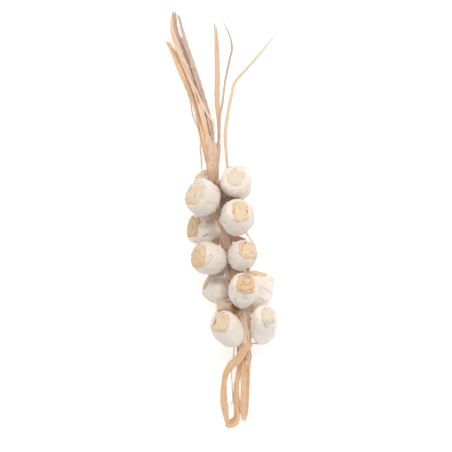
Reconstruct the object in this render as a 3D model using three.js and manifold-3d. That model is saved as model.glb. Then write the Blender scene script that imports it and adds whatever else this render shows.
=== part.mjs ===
// A braid of garlic lying on its back: twelve bulbs tied along a three-strand plait of dry leaves, with
// the leaf ends left long at both ends of the plait.
//
// Millimetres, +Z up. The braid lies on z = 0 with its length along Y, its long crown of leaves towards
// +Y, and its shown side up. The origin is under the centre of its box.

import * as THREE from "three";
import { mergeVertices } from "three/addons/utils/BufferGeometryUtils.js";
import Module from "manifold-3d";

const wasm = await Module();
wasm.setup();

// ---------------------------------------------------------------- driving dimensions

const UP = new THREE.Vector3(0, 0, 1);
const { lerp, smoothstep, degToRad } = THREE.MathUtils;

const BULB_SIDES = 16; // facets round a bulb
const CLOVES = 8; // lobes round a bulb
const CLOVE_RELIEF = 0.025; // height of a lobe, as a share of the bulb's radius
const ROOT_PLATE_SHARE = 0.58; // radius of the root plate, as a share of the bulb's
const ROOT_PLATE_HEIGHT = 2.2; // how far the trimmed roots stand out of the bulb
const GROUND_REACH = 1.5; // a bulb whose belly comes this close to the ground meets it
const FLAT_SPOT_DEPTH = 0.5; // how far such a bulb is pressed flat
const WIDEST_HEIGHT = 0.02; // height of a bulb's widest ring, as a share of its length
const NECK_STEPS = 3;
const NECK_TIP_RADIUS = 2.2;
const NECK_GAP = 0.9; // between a neck's tip and the plait

const WEAVE_TURNS = 3; // full periods of the three-strand weave
const WEAVE_START = 0.16; // share of the plait at which the weave begins, below the straight crown end
const STRAND_SWING = 5.4; // sideways reach of a strand from the plait's middle line
const CROWN_SPREAD = 3.4; // how much wider the strands stand apart at the crown end
const STRAND_LIFT = 3.8; // up-and-down reach of a strand
const STRAND_HALF_WIDTH = 3;
const STRAND_HALF_THICKNESS = 2;
const STRAND_SIDES = 8;
const STRAND_STEPS = 48;
const PLAIT_HALF_WIDTH = STRAND_SWING + STRAND_HALF_WIDTH;
const PLAIT_HALF_THICKNESS = STRAND_LIFT + STRAND_HALF_THICKNESS;

const LEAF_HALF_THICKNESS = 0.9;
const LEAF_SIDES = 6;
const LEAF_STEPS = 18;

// ---------------------------------------------------------------- colours and finishes

const skin = new THREE.MeshStandardMaterial({ color: 0xe8dfd6, roughness: 0.6, metalness: 0 });
const strandLeaf = new THREE.MeshStandardMaterial({ color: 0xd9b498, roughness: 0.75, metalness: 0 });
const looseLeaf = new THREE.MeshStandardMaterial({ color: 0xe5c29a, roughness: 0.75, metalness: 0 });

// ---------------------------------------------------------------- solids and sweeps

const curveThrough = (points) => new THREE.CatmullRomCurve3(points.map((p) => new THREE.Vector3(...p)));

// A closed geometry with only position, its shared vertices merged.
function closedGeometry(geometry) {
  const bare = new THREE.BufferGeometry();
  bare.setAttribute("position", geometry.attributes.position.clone());
  bare.setIndex(geometry.index.clone());
  return mergeVertices(bare, 1e-4);
}

// Moves every vertex of a geometry to where the function puts it.
function reshaped(geometry, put) {
  const position = geometry.attributes.position;
  const v = new THREE.Vector3();
  for (let i = 0; i < position.count; i++) {
    const moved = put(v.fromBufferAttribute(position, i));
    position.setXYZ(i, moved.x, moved.y, moved.z);
  }
  geometry.computeVertexNormals();
  return geometry;
}

// A closed solid along a line: place(t) gives the middle of the elliptical section and its two half axes
// at share t of the way.
function sweptGeometry(place, sides, steps) {
  const rod = closedGeometry(new THREE.CylinderGeometry(1, 1, 1, sides, steps));
  return reshaped(rod, (v) => {
    const { middle, wide, thick } = place(0.5 - v.y);
    return middle.clone().addScaledVector(wide, v.x).addScaledVector(thick, v.z);
  });
}

function solidOf(geometry) {
  const closed = closedGeometry(geometry);
  return new wasm.Manifold(
    new wasm.Mesh({
      numProp: 3,
      vertProperties: new Float32Array(closed.attributes.position.array),
      triVerts: new Uint32Array(closed.index.array),
    }),
  );
}

function geometryOf(solid) {
  const { vertProperties, triVerts } = solid.getMesh();
  const geometry = new THREE.BufferGeometry();
  geometry.setAttribute("position", new THREE.Float32BufferAttribute(vertProperties, 3));
  geometry.setIndex([...triVerts]);
  geometry.computeVertexNormals();
  return geometry;
}

// ---------------------------------------------------------------- the plait

// Its middle line, from the crown end to the tail end, passing over the bulbs at its back.
const plaitLine = curveThrough([
  [-13, 104, 30],
  [-12.5, 82, 36],
  [-12, 56, 41.5],
  [-4, 24, 42],
  [3, -14, 40],
  [9, -58, 38.5],
  [15, -96, 39],
  [25, -122, 38],
  [30, -146, 34],
  [27.5, -184, 24],
]);

// The plait's cross directions at share u of its length: side lies level, over points off the ground.
function plaitFrame(u) {
  const point = plaitLine.getPointAt(u);
  const along = plaitLine.getTangentAt(u);
  const side = new THREE.Vector3().crossVectors(along, UP).normalize();
  const over = new THREE.Vector3().crossVectors(side, along);
  return { point, side, over };
}

// The share of the plait's length at which it passes a given y.
function shareAtY(y) {
  let above = 0;
  let below = 1;
  for (let i = 0; i < 30; i++) {
    const middle = (above + below) / 2;
    if (plaitLine.getPointAt(middle).y > y) above = middle;
    else below = middle;
  }
  return below;
}

// A strand swings from side to side once while it goes over and under twice.
function strandPlace(strand, u) {
  const { point, side, over } = plaitFrame(u);
  const woven = Math.max(0, u - WEAVE_START) / (1 - WEAVE_START);
  const angle = 2 * Math.PI * (WEAVE_TURNS * woven + strand / 3);
  const swing = STRAND_SWING + CROWN_SPREAD * (1 - smoothstep(u, 0, WEAVE_START));
  return {
    middle: point
      .addScaledVector(side, -swing * Math.sin(angle))
      .addScaledVector(over, STRAND_LIFT * Math.sin(2 * angle)),
    wide: side.multiplyScalar(STRAND_HALF_WIDTH),
    thick: over.multiplyScalar(-STRAND_HALF_THICKNESS),
  };
}

function makeStrand(strand) {
  const geometry = sweptGeometry((u) => strandPlace(strand, u), STRAND_SIDES, STRAND_STEPS);
  const mesh = new THREE.Mesh(geometry, strandLeaf);
  mesh.name = `strand_${strand + 1}`;
  return mesh;
}

// ---------------------------------------------------------------- garlic bulbs

// Each bulb: where its middle is, which way its root end faces, its width, its length from the root end
// to the shoulder of the neck, and the y at which its neck is tied to the plait. A bulb with a point is
// drawn in below its widest ring, by that share of its radius at the shoulder; below 0 it is fuller.
const bulbs = [
  { name: "bulb_1_left", at: [-23.8, 25, 68.5], faces: [-0.66, 0.38, 0.65], width: 46.5, length: 40, tieY: 8 },
  { name: "bulb_1_right", at: [18, 45, 59], faces: [-0.05, 0.4, 0.92], width: 41, length: 42, tieY: 30 },
  { name: "bulb_1_back", at: [-19.5, 45.5, 17], faces: [-0.45, 0.8, 0.4], width: 34, length: 34, tieY: 28 },
  { name: "bulb_2_left", at: [-24, -15, 21], faces: [-0.86, 0.15, 0.48], width: 40, length: 42, tieY: -32 },
  {
    name: "bulb_2_right", at: [18.6, -2.6, 67.2], faces: [0.12, 0.6, 0.79],
    width: 44, length: 54, point: 0.3, tieY: -16,
  },
  { name: "bulb_3_left", at: [-15.8, -53, 61.5], faces: [-0.8, 0.2, 0.6], width: 42, length: 46, tieY: -62 },
  { name: "bulb_3_right", at: [25, -50, 62], faces: [0.4, 0.58, 0.7], width: 38, length: 40, tieY: -66 },
  {
    name: "bulb_4_back", at: [-5, -93, 19.5], faces: [-0.87, 0.42, 0.15],
    width: 39, length: 40, tieY: -110,
  },
  {
    name: "bulb_4_left", at: [26.5, -96.5, 69], faces: [0.05, 0.66, 0.75],
    width: 38, length: 56, point: 0.25, tieY: -118,
  },
  {
    name: "bulb_4_right", at: [45, -94.7, 21.5], faces: [0.2, 0.95, 0.22],
    width: 43, length: 50, point: -0.15, tieY: -116,
  },
  {
    name: "bulb_5_left", at: [7.4, -145.6, 60], faces: [-0.36, 0.55, 0.755],
    width: 39.5, length: 60, tieY: -164,
  },
  {
    name: "bulb_5_right", at: [53.8, -140, 51.6], faces: [0.08, 0.7, 0.71],
    width: 33.5, length: 60, point: -0.22, tieY: -162,
  },
];

// Radius of a bulb's body as a share of its half width, by height from the root end (0.5) to the neck's
// shoulder (-0.5): widest near the roots, with a long shoulder.
const bodyProfile = [
  [0.42, 0.74],
  [0.32, 0.89],
  [0.16, 0.98],
  [0.02, 1],
  [-0.12, 0.96],
  [-0.26, 0.84],
  [-0.39, 0.62],
  [-0.5, 0.36],
];

// From the middle of the root plate round its rim, down the body, and along the neck. Below the shoulder
// the height counts the neck's steps.
function bulbProfile(bulb) {
  const half = bulb.width / 2;
  const rootEnd = 0.42 * bulb.length + ROOT_PLATE_HEIGHT;
  const plate = ROOT_PLATE_SHARE * half;
  const points = [
    [0, rootEnd],
    [0.86 * plate, rootEnd],
    [plate, rootEnd - 0.4 * ROOT_PLATE_HEIGHT],
    [0.98 * plate, rootEnd - ROOT_PLATE_HEIGHT],
  ];
  for (const [height, share] of bodyProfile) {
    const drawnIn = 1 - (bulb.point ?? 0) * Math.max(0, WIDEST_HEIGHT - height) / (WIDEST_HEIGHT + 0.5);
    points.push([share * drawnIn * half, height * bulb.length]);
  }
  const shoulder = -0.5 * bulb.length;
  const shoulderRadius = points.at(-1)[0];
  for (let step = 1; step <= NECK_STEPS; step++) {
    const radius = lerp(shoulderRadius, NECK_TIP_RADIUS, Math.sqrt(step / NECK_STEPS));
    points.push([radius, shoulder - step]);
  }
  points.push([0, shoulder - NECK_STEPS]);
  return points.reverse().map((p) => new THREE.Vector2(...p));
}

// The bulb with its root end towards +Y: its cloves show as lobes, and its neck bends over to the tip.
function bulbGeometry(bulb, tip) {
  const shoulder = new THREE.Vector3(0, -0.5 * bulb.length, 0);
  const bend = shoulder.clone().setY(shoulder.y - 0.45 * shoulder.distanceTo(tip));
  const neck = new THREE.QuadraticBezierCurve3(shoulder, bend, tip);
  const lathe = closedGeometry(new THREE.LatheGeometry(bulbProfile(bulb), BULB_SIDES));
  return reshaped(lathe, (v) => {
    const step = Math.round(shoulder.y - v.y);
    if (step <= 0) {
      const belly = Math.cos((Math.PI * v.y) / (1.15 * bulb.length));
      const lobe = 1 + CLOVE_RELIEF * belly * Math.cos(CLOVES * Math.atan2(v.x, v.z));
      return new THREE.Vector3(v.x * lobe, v.y, v.z * lobe);
    }
    const t = step / NECK_STEPS;
    const turn = new THREE.Quaternion().setFromUnitVectors(new THREE.Vector3(0, -1, 0), neck.getTangent(t));
    return new THREE.Vector3(v.x, 0, v.z).applyQuaternion(turn).add(neck.getPoint(t));
  });
}

// Where a bulb's neck meets the plait: on the side of the plait that faces the bulb.
function neckTip(bulb) {
  const { point, side, over } = plaitFrame(shareAtY(bulb.tieY));
  const towards = new THREE.Vector3(...bulb.at).sub(point);
  const across = towards.dot(side);
  const rise = towards.dot(over);
  const edge = 1 / Math.hypot(across / PLAIT_HALF_WIDTH, rise / PLAIT_HALF_THICKNESS);
  const reach = edge + (NECK_TIP_RADIUS + NECK_GAP) / Math.hypot(across, rise);
  return point.addScaledVector(side, across * reach).addScaledVector(over, rise * reach);
}

// Presses a bulb flat where it meets the ground.
function pressFlat(mesh) {
  const lowest = new THREE.Box3().setFromObject(mesh, true).min.z;
  mesh.position.z -= lowest + FLAT_SPOT_DEPTH;
  mesh.updateMatrix();
  const ground = new THREE.BoxGeometry(200, 200, 20).translate(mesh.position.x, mesh.position.y, -10);
  const pressed = solidOf(mesh.geometry.applyMatrix4(mesh.matrix)).subtract(solidOf(ground));
  mesh.geometry = geometryOf(pressed).applyMatrix4(mesh.matrix.clone().invert());
}

function makeBulb(bulb) {
  const mesh = new THREE.Mesh(new THREE.BufferGeometry(), skin);
  mesh.name = bulb.name;
  mesh.position.set(...bulb.at);
  const rootEnd = new THREE.Vector3(...bulb.faces).normalize();
  mesh.quaternion.setFromUnitVectors(new THREE.Vector3(0, 1, 0), rootEnd);
  mesh.updateMatrix();
  mesh.geometry = bulbGeometry(bulb, neckTip(bulb).applyMatrix4(mesh.matrix.clone().invert()));
  const meetsGround = bulb.at[2] < bulb.width / 2 + GROUND_REACH;
  if (meetsGround) pressFlat(mesh);
  return mesh;
}

// ---------------------------------------------------------------- loose leaves

// Each leaf: its route from the plait to its cut tip, its width at the widest, and how far it is turned
// about its own line at both ends (degrees, 0 is flat to the ground).
const leaves = [
  {
    name: "crown_leaf_1",
    route: [
      [-24.5, 106, 28.5], [-28, 124, 28], [-31, 138, 27], [-37, 155, 26],
      [-45, 176, 23], [-57, 206, 18], [-71, 230, 11],
    ],
    width: 10,
    turn: [10, 25],
  },
  {
    name: "crown_leaf_2",
    route: [
      [-20, 107, 35], [-25, 129, 36], [-32, 156, 35], [-42.5, 184, 31],
      [-53.5, 210, 26], [-62.5, 234, 21], [-66.5, 248, 19], [-67, 264, 17],
    ],
    width: 5.5,
    turn: [0, -30],
  },
  {
    name: "crown_leaf_3",
    route: [
      [-15, 106, 29.5], [-21, 127, 31.5], [-30, 158, 31], [-41, 196, 27],
      [-55.5, 228, 19], [-62.5, 248, 14], [-64.5, 273, 9],
    ],
    width: 8,
    turn: [-10, 20],
  },
  {
    name: "crown_leaf_4",
    route: [[-13, 107, 34], [-17, 129, 35], [-26, 160, 34], [-37, 196, 31], [-50, 236, 26], [-57, 262, 22]],
    width: 7,
    turn: [0, 35],
  },
  {
    name: "crown_leaf_5",
    route: [[-4.6, 107, 30], [-5, 128, 31], [-7, 150, 30], [-6.4, 190, 27], [-7.6, 222, 22], [-9.8, 258, 16]],
    width: 7.5,
    turn: [5, -15],
  },
  {
    name: "crown_leaf_6",
    route: [
      [-4.5, 107, 35], [-4.5, 128, 36], [-0.5, 148, 37], [3, 175, 36], [9.5, 208, 33],
      [12.4, 222, 31], [11, 234, 29], [6, 248, 26], [0, 260, 24],
    ],
    width: 3.2,
    turn: [0, 40],
  },
  {
    name: "crown_leaf_7",
    route: [
      [6.8, 63, 29], [5, 84, 27], [3.5, 109, 26], [5, 125, 25], [8.5, 147, 23.5], [12.6, 165, 21.5],
      [16.1, 178.5, 19], [28.7, 193.6, 16], [49, 217, 12], [72, 246, 7],
    ],
    width: 5,
    turn: [0, 30],
  },
  {
    name: "tail_leaf_1",
    route: [
      [26.5, -174, 35.5], [20.9, -184, 33], [14, -190.8, 30], [8.8, -197.5, 27], [4, -207, 23],
      [1.9, -219.6, 19], [1, -229, 16], [1.5, -242.6, 12], [3.9, -256, 8.5], [6.5, -274, 5],
    ],
    width: 9.5,
    turn: [20, -10],
  },
  {
    name: "tail_leaf_2",
    route: [
      [15, -167, 17], [15, -176, 18], [13.7, -186, 18.5], [12.2, -196, 18],
      [12.6, -223, 14], [13.5, -240, 10], [10, -251, 8],
    ],
    width: 2.6,
    turn: [0, 0],
  },
  {
    name: "tail_leaf_3",
    route: [
      [24, -187, 19], [22, -198, 17.5], [20.6, -210, 15], [18.8, -218, 13],
      [18.3, -236, 9.5], [19.4, -254, 6.5], [20.3, -270, 4.5],
    ],
    width: 7,
    turn: [-10, 15],
  },
  {
    name: "tail_leaf_4",
    route: [
      [29, -187, 24], [27.6, -204, 20.5], [27.4, -226, 16],
      [26.9, -240, 13], [27, -256, 10], [27.7, -271, 7.5],
    ],
    width: 6,
    turn: [0, 25],
  },
  {
    name: "tail_leaf_5",
    route: [[35, -188, 20], [33.6, -200, 18], [32.8, -216, 14], [31.9, -236, 10.5], [30.5, -270, 5.5]],
    width: 6.5,
    turn: [20, -20],
  },
];

function makeLeaf(leaf) {
  const line = curveThrough(leaf.route);
  const place = (t) => {
    const along = line.getTangentAt(t);
    const side = new THREE.Vector3().crossVectors(along, UP).normalize();
    const turn = degToRad(lerp(leaf.turn[0], leaf.turn[1], t));
    const wide = side.applyAxisAngle(along, turn);
    const thick = new THREE.Vector3().crossVectors(along, wide);
    const taper = 0.7 + 0.3 * smoothstep(t, 0, 0.25) - 0.45 * smoothstep(t, 0.75, 1);
    return {
      middle: line.getPointAt(t),
      wide: wide.multiplyScalar((taper * leaf.width) / 2),
      thick: thick.multiplyScalar(LEAF_HALF_THICKNESS),
    };
  };
  const mesh = new THREE.Mesh(sweptGeometry(place, LEAF_SIDES, LEAF_STEPS), looseLeaf);
  mesh.name = leaf.name;
  return mesh;
}

// ---------------------------------------------------------------- the whole braid

const braid = new THREE.Group();
for (const bulb of bulbs) braid.add(makeBulb(bulb));
for (let strand = 0; strand < 3; strand++) braid.add(makeStrand(strand));
for (const leaf of leaves) braid.add(makeLeaf(leaf));

const box = new THREE.Box3().setFromObject(braid, true);
const middle = box.getCenter(new THREE.Vector3());
braid.position.set(-middle.x, -middle.y, 0);

export default braid;
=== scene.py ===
# %% [markdown]
# # A braid of garlic, lying on its back
#
# Twelve heads of garlic hang on a three-strand plait of their own dry leaves. In this lesson the braid
# gets its looks: papery skins, trimmed root ends, and leaves that are split, folded and frayed. The
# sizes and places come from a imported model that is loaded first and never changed. It is a plain
# stand-in, and every piece below is grown from what can be measured on it.

import math

import bmesh
import bpy
import numpy as np
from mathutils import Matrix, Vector
from mathutils.bvhtree import BVHTree


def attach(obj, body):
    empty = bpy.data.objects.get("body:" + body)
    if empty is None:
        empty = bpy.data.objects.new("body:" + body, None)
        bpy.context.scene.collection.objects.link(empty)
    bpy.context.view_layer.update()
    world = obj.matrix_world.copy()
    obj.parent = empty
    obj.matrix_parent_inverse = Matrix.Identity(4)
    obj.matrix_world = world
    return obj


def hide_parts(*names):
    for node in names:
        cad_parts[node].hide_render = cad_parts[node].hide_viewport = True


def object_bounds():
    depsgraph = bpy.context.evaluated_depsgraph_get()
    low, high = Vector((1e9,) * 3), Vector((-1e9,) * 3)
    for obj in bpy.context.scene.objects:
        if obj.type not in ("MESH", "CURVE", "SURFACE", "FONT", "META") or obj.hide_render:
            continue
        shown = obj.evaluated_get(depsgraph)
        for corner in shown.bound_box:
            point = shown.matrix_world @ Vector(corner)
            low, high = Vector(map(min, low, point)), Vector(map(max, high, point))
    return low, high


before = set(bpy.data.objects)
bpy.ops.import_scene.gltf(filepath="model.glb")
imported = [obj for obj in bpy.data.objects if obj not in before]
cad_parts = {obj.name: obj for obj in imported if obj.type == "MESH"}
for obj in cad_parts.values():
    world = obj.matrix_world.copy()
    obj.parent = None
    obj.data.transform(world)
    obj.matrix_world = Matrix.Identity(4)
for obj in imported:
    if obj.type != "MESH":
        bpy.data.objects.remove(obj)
cad_low, cad_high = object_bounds()
MM = 0.001  # the frame is in metres
print("the braid measures", [round(side / MM) for side in cad_high - cad_low], "mm")

# %% [markdown]
# ## Camera and light
#
# The braid is seen from straight above with a long lens, so that the near bulbs hardly look bigger than
# the plait behind them. The light is a white studio: a bright even sky, and one big soft lamp from the
# crown end that leaves the lower side of every bulb a little grey. The floor is a pale sheet, lit so
# brightly that it nearly burns out.

# %% Camera
LENS = 156
CAMERA_HEIGHT = 2600 * MM
FRAMING = (4.6 * MM, -9.8 * MM)  # the braid is a little off the middle of the frame

lens = bpy.data.cameras.new("camera")
lens.lens = LENS
camera = bpy.data.objects.new("camera", lens)
middle = (cad_low + cad_high) / 2
camera.location = (middle.x + FRAMING[0], middle.y + FRAMING[1], CAMERA_HEIGHT)
bpy.context.scene.collection.objects.link(camera)
bpy.context.scene.camera = camera
print("the camera looks down from", CAMERA_HEIGHT, "m")

# %% Light
SKY_STRENGTH = 0.76
SKY_COLOUR = (1.0, 0.99, 0.98, 1)
KEY_WATTS = 23
KEY_COLOUR = (1.0, 0.985, 0.96)
KEY_PLACE = Vector((0.35, 1.1, 1.9))
KEY_SIZE = 1.1

scene = bpy.context.scene
scene.view_settings.view_transform = "Standard"
scene.world = bpy.data.worlds.new("studio")
scene.world.use_nodes = True
sky = scene.world.node_tree.nodes["Background"]
sky.inputs["Color"].default_value = SKY_COLOUR
sky.inputs["Strength"].default_value = SKY_STRENGTH

lamp = bpy.data.lights.new("key_lamp", "AREA")
lamp.energy = KEY_WATTS
lamp.size = KEY_SIZE
lamp.color = KEY_COLOUR
key = bpy.data.objects.new("key_lamp", lamp)
key.location = KEY_PLACE
key.rotation_euler = (-KEY_PLACE).to_track_quat("-Z", "Y").to_euler()
scene.collection.objects.link(key)
print("key lamp at", [round(c, 2) for c in KEY_PLACE])

# %% [markdown]
# ## Shapes as grids of places
#
# Nearly everything here is a sheet or a tube, and both are grids: rows along the piece, columns across or
# around it. So the shapes are worked out as arrays of places and turned into meshes by a few small
# helpers. A sheet gets a real thickness, because paper and leaves have two sides and an edge.

# %% Lines and random swells
def unit(vectors):
    return vectors / np.linalg.norm(vectors, axis=-1, keepdims=True)


def distances(line):
    """How far along the line each of its places is."""
    return np.r_[0, np.cumsum(np.linalg.norm(np.diff(line, axis=0), axis=1))]


def at_distances(wanted, way, line):
    """The line's values at the wanted distances along it."""
    return np.column_stack([np.interp(wanted, way, column) for column in line.T])


def evenly(line, count):
    """The same line at count places, an equal way apart."""
    way = distances(line)
    return at_distances(np.linspace(0, way[-1], count), way, line)


def tangents_of(line):
    """The way ahead at each place of a line."""
    return unit(np.gradient(line, axis=0))


def smooth_line(points, count):
    """A smooth curve through the points."""
    points = np.asarray(points, float)
    knots = np.vstack([2 * points[0] - points[1], points, 2 * points[-1] - points[-2]])
    t = np.linspace(0, 1, 20, endpoint=False)[:, None]
    pieces = []
    for a, b, c, d in zip(knots, knots[1:], knots[2:], knots[3:]):
        bend = (2 * a - 5 * b + 4 * c - d) * t**2 + (3 * b - a - 3 * c + d) * t**3
        pieces.append(0.5 * (2 * b + (c - a) * t + bend))
    return evenly(np.vstack(pieces + [points[-1:]]), count)


def uneven(places, wavelength, draws, waves=14):
    """A smooth random swell over the places, mostly between -1 and 1."""
    directions = unit(draws.normal(size=(waves, places.shape[-1])))
    steps = places @ directions.T * (2 * np.pi / wavelength) + draws.uniform(0, 2 * np.pi, waves)
    return np.cos(steps).sum(axis=-1) / math.sqrt(waves)


def swells(places, waves, scale, draws):
    """Random swells added up; each wave has a height, and a wavelength in units of the scale."""
    return sum(height * uneven(places, length * scale, draws) for height, length in waves)


def ramp(value, start, end):
    """0 before start, 1 after end, and a soft step between."""
    t = np.clip((value - start) / (end - start), 0, 1)
    return t * t * (3 - 2 * t)


def eased(share, end):
    """0 at both ends of a share from 0 to 1, and 1 between them."""
    return ramp(share, 0, end) * ramp(share, 1, 1 - end)


def full_turn(count):
    """Angles all the way round, and the cosine and sine of each."""
    angle = np.linspace(0, 2 * np.pi, count, endpoint=False)
    return angle, np.stack([np.cos(angle), np.sin(angle)], axis=-1)


def spokes(first, second, turn):
    """Directions away from a line, all the way round it, from its two cross directions."""
    return first[:, None] * turn[:, :1] + second[:, None] * turn[:, 1:]


def together(*values):
    """One grid with several values at each place, each of them a number, a row, a column or a grid."""
    return np.dstack(np.broadcast_arrays(*values))


def groove(angle, middle, width):
    """1 along the middle of a lengthwise groove, falling to 0 beside it."""
    gap = (angle - middle + np.pi) % (2 * np.pi) - np.pi
    return np.exp(-((gap / width) ** 2))


# %% Grids to closed parts
def grid_faces(rows, columns, around=False):
    """The quads of a grid; around also joins the last column to the first."""
    i, j = np.indices((rows - 1, columns if around else columns - 1)).reshape(2, -1)
    k = (j + 1) % columns
    return np.column_stack([i * columns + j, i * columns + k, (i + 1) * columns + k, (i + 1) * columns + j])


def spread_marks(marks, grid, repeat):
    """Marks as one row a point: a mark may be one number, a row, a column or a whole grid."""
    spread = {}
    for name, values in marks.items():
        values = np.broadcast_to(values, grid.shape if name == "grain" else grid.shape[:2])
        spread[name] = repeat(values.reshape(grid.shape[0] * grid.shape[1], -1))
    return spread


def tube(grid, **marks):
    """A closed tube: each row of the grid is a ring, and both ends are closed to a point."""
    rows, columns = grid.shape[:2]
    points = np.vstack([grid.reshape(-1, 3), grid[0].mean(axis=0), grid[-1].mean(axis=0)])
    here = np.arange(columns)
    after = (here + 1) % columns
    last = (rows - 1) * columns
    first_cap = np.column_stack([after, here, np.full(columns, rows * columns)])
    last_cap = np.column_stack([last + here, last + after, np.full(columns, rows * columns + 1)])
    marks = spread_marks(marks, grid, lambda flat: np.vstack([flat, flat[:1], flat[-1:]]))
    return {"points": points, "faces": [grid_faces(rows, columns, around=True), first_cap, last_cap], **marks}


def sheet(grid, thickness, **marks):
    """A thin closed sheet with the grid as its middle surface."""
    rows, columns = grid.shape[:2]
    along, across = np.gradient(grid, axis=(0, 1))
    out = unit(np.cross(along, across)) * thickness / 2
    points = np.vstack([(grid + out).reshape(-1, 3), (grid - out).reshape(-1, 3)])
    top = grid_faces(rows, columns)
    numbers = np.arange(rows * columns).reshape(rows, columns)
    rim = np.r_[numbers[0], numbers[1:, -1], numbers[-1, -2::-1], numbers[-2:0:-1, 0]]
    after = np.roll(rim, -1)
    under = rows * columns
    wall = np.column_stack([rim, rim + under, after + under, after])
    marks = spread_marks(marks, grid, lambda flat: np.vstack([flat, flat]))
    return {"points": points, "faces": [top, top[:, ::-1] + under, wall], **marks}


# %% Parts to a piece
TRIANGLES = {}


def tell(stage):
    print(stage, sum(TRIANGLES.values()), "triangles")


def make_piece(name, parts, finish, slot, *nodes, sharp=None):
    """Joins closed parts in one mesh object that takes the place of the CAD nodes named."""
    points = np.vstack([part["points"] for part in parts])
    starts = np.cumsum([0] + [len(part["points"]) for part in parts])
    faces = []
    for part, start in zip(parts, starts):
        for block in part["faces"]:
            faces += (block + int(start)).tolist()
    mesh = bpy.data.meshes.new(name)
    mesh.from_pydata(points.tolist(), [], faces)
    facing = bmesh.new()
    facing.from_mesh(mesh)
    bmesh.ops.recalc_face_normals(facing, faces=facing.faces)
    facing.to_mesh(mesh)
    facing.free()
    for mark in sorted({mark for part in parts for mark in part} - {"points", "faces"}):
        width = 3 if mark == "grain" else 1
        blank = np.zeros((1, width))
        values = [part.get(mark, np.repeat(blank, len(part["points"]), axis=0)) for part in parts]
        kind, field = ("FLOAT_VECTOR", "vector") if width == 3 else ("FLOAT", "value")
        mesh.attributes.new(mark, kind, "POINT").data.foreach_set(field, np.vstack(values).ravel())
    mesh.shade_smooth()
    if sharp:
        mesh.set_sharp_from_angle(angle=math.radians(sharp))
    mesh.materials.append(finish)
    piece = bpy.data.objects.new(name, mesh)
    bpy.context.scene.collection.objects.link(piece)
    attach(piece, "root")
    if nodes:
        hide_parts(*nodes)
    TRIANGLES[name] = sum(len(face.vertices) - 2 for face in mesh.polygons)


# %% [markdown]
# ## What the CAD solids say
#
# A bulb's solid has one broad flat: its trimmed root plate. That flat gives the middle of the root end,
# the way the bulb faces, and its width. The rings of corners below it give the bulb's length, and the
# corner farthest from it is the tip of the neck, at the plait. Leaves and strands are swept solids, so
# their corners come in rings as well, and the middles of the rings are the line to follow.

# %% Read the solids
def corners_of(node):
    """The solid's corners, each once, and its faces as numbers of corners."""
    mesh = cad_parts[node].data
    places = np.empty(len(mesh.vertices) * 3)
    mesh.vertices.foreach_get("co", places)
    corners, number = np.unique(places.reshape(-1, 3).round(6), axis=0, return_inverse=True)
    number = number.ravel()
    return corners, [[number[v] for v in face.vertices] for face in mesh.polygons]


def spread_from(start, faces):
    """Sets of corners, each one edge farther from the start than the set before it."""
    beside = {}
    for face in faces:
        for corner in face:
            beside.setdefault(corner, set()).update(face)
    rings, seen = [set(start)], set(start)
    while ring := set().union(*(beside[corner] for corner in rings[-1])) - seen:
        rings.append(ring)
        seen |= ring
    return rings


def rings_of(node):
    """The rings of corners of a swept solid, from one end cap to the other."""
    corners, faces = corners_of(node)
    for cap in range(len(corners)):
        rings = spread_from([cap], faces)
        if len(rings[-1]) == 1 and len({len(ring) for ring in rings[1:-1]}) == 1:
            return [corners[sorted(ring)] for ring in rings[1:-1]]


PLATE_FLAT_SHARE = 0.5  # a root plate's flat is half as wide as its bulb
SAME_WAY, STRAIGHT_DOWN = 0.9999, -0.99  # cosines
SLACK = 0.05 * MM  # corners this near to a level are on it
RING_CORNERS = 8  # fewer corners at one depth are no ring
ON_RIM = 0.85  # corners nearer the axis than this share of the ring's reach aren't on its rim


def measure_bulb(node):
    """The root end's middle and facing, the half width, the rings, the neck's tip, and the middle."""
    corners, faces = corners_of(node)
    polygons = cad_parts[node].data.polygons
    normals = np.array([face.normal for face in polygons])
    centres = np.array([face.center for face in polygons])
    areas = np.array([face.area for face in polygons])
    heights = (normals * centres).sum(axis=1)
    level = (normals @ normals.T > SAME_WAY) & (abs(heights[:, None] - heights) < SLACK)
    level[normals[:, 2] < STRAIGHT_DOWN] = False  # the flat spot on the ground
    flat = level[np.argmax(level @ areas)]
    axis = unit(normals[flat].mean(axis=0))
    foot = np.average(centres[flat], axis=0, weights=areas[flat])
    depths = (foot - corners) @ axis
    plate = np.flatnonzero(abs(depths) < SLACK)
    half = np.linalg.norm(corners[plate] - foot, axis=1).max() / PLATE_FLAT_SHARE
    rings, counts = np.unique(depths.round(5), return_counts=True)
    rings = rings[counts >= RING_CORNERS]
    across = np.linalg.norm(corners - foot + depths[:, None] * axis, axis=1)
    on_rings = [across[abs(depths - ring) < SLACK] for ring in rings]
    radii = np.array([reach[reach > ON_RIM * reach.max()].mean() for reach in on_rings])
    tip = corners[sorted(spread_from(plate, faces)[-1])].mean(axis=0)
    measured = {"foot": foot, "axis": axis, "half": half, "rings": rings, "radii": radii, "tip": tip}
    return measured | {"middle": foot - axis * rings[-1] / 2}


bulb_names = sorted(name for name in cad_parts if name.startswith("bulb_"))
bulbs = {name: measure_bulb(name) for name in bulb_names}
for name, bulb in bulbs.items():
    print(name, "is", round(2 * bulb["half"] / MM), "mm wide and", round(bulb["rings"][-1] / MM), "mm long")

# %% [markdown]
# ## Effects shared by the finishes
#
# Garlic paper, root ends and dry leaves share a few effects: fine lines that run along the piece, soft
# patches of another shade, small specks, and worn rims. Each one is a node group that is built once.
# Every finish places it with its own values. The lines follow a "grain" stored on the mesh, metres
# across and along each piece, so they bend with the leaf or run from root to neck down a bulb.

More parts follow.
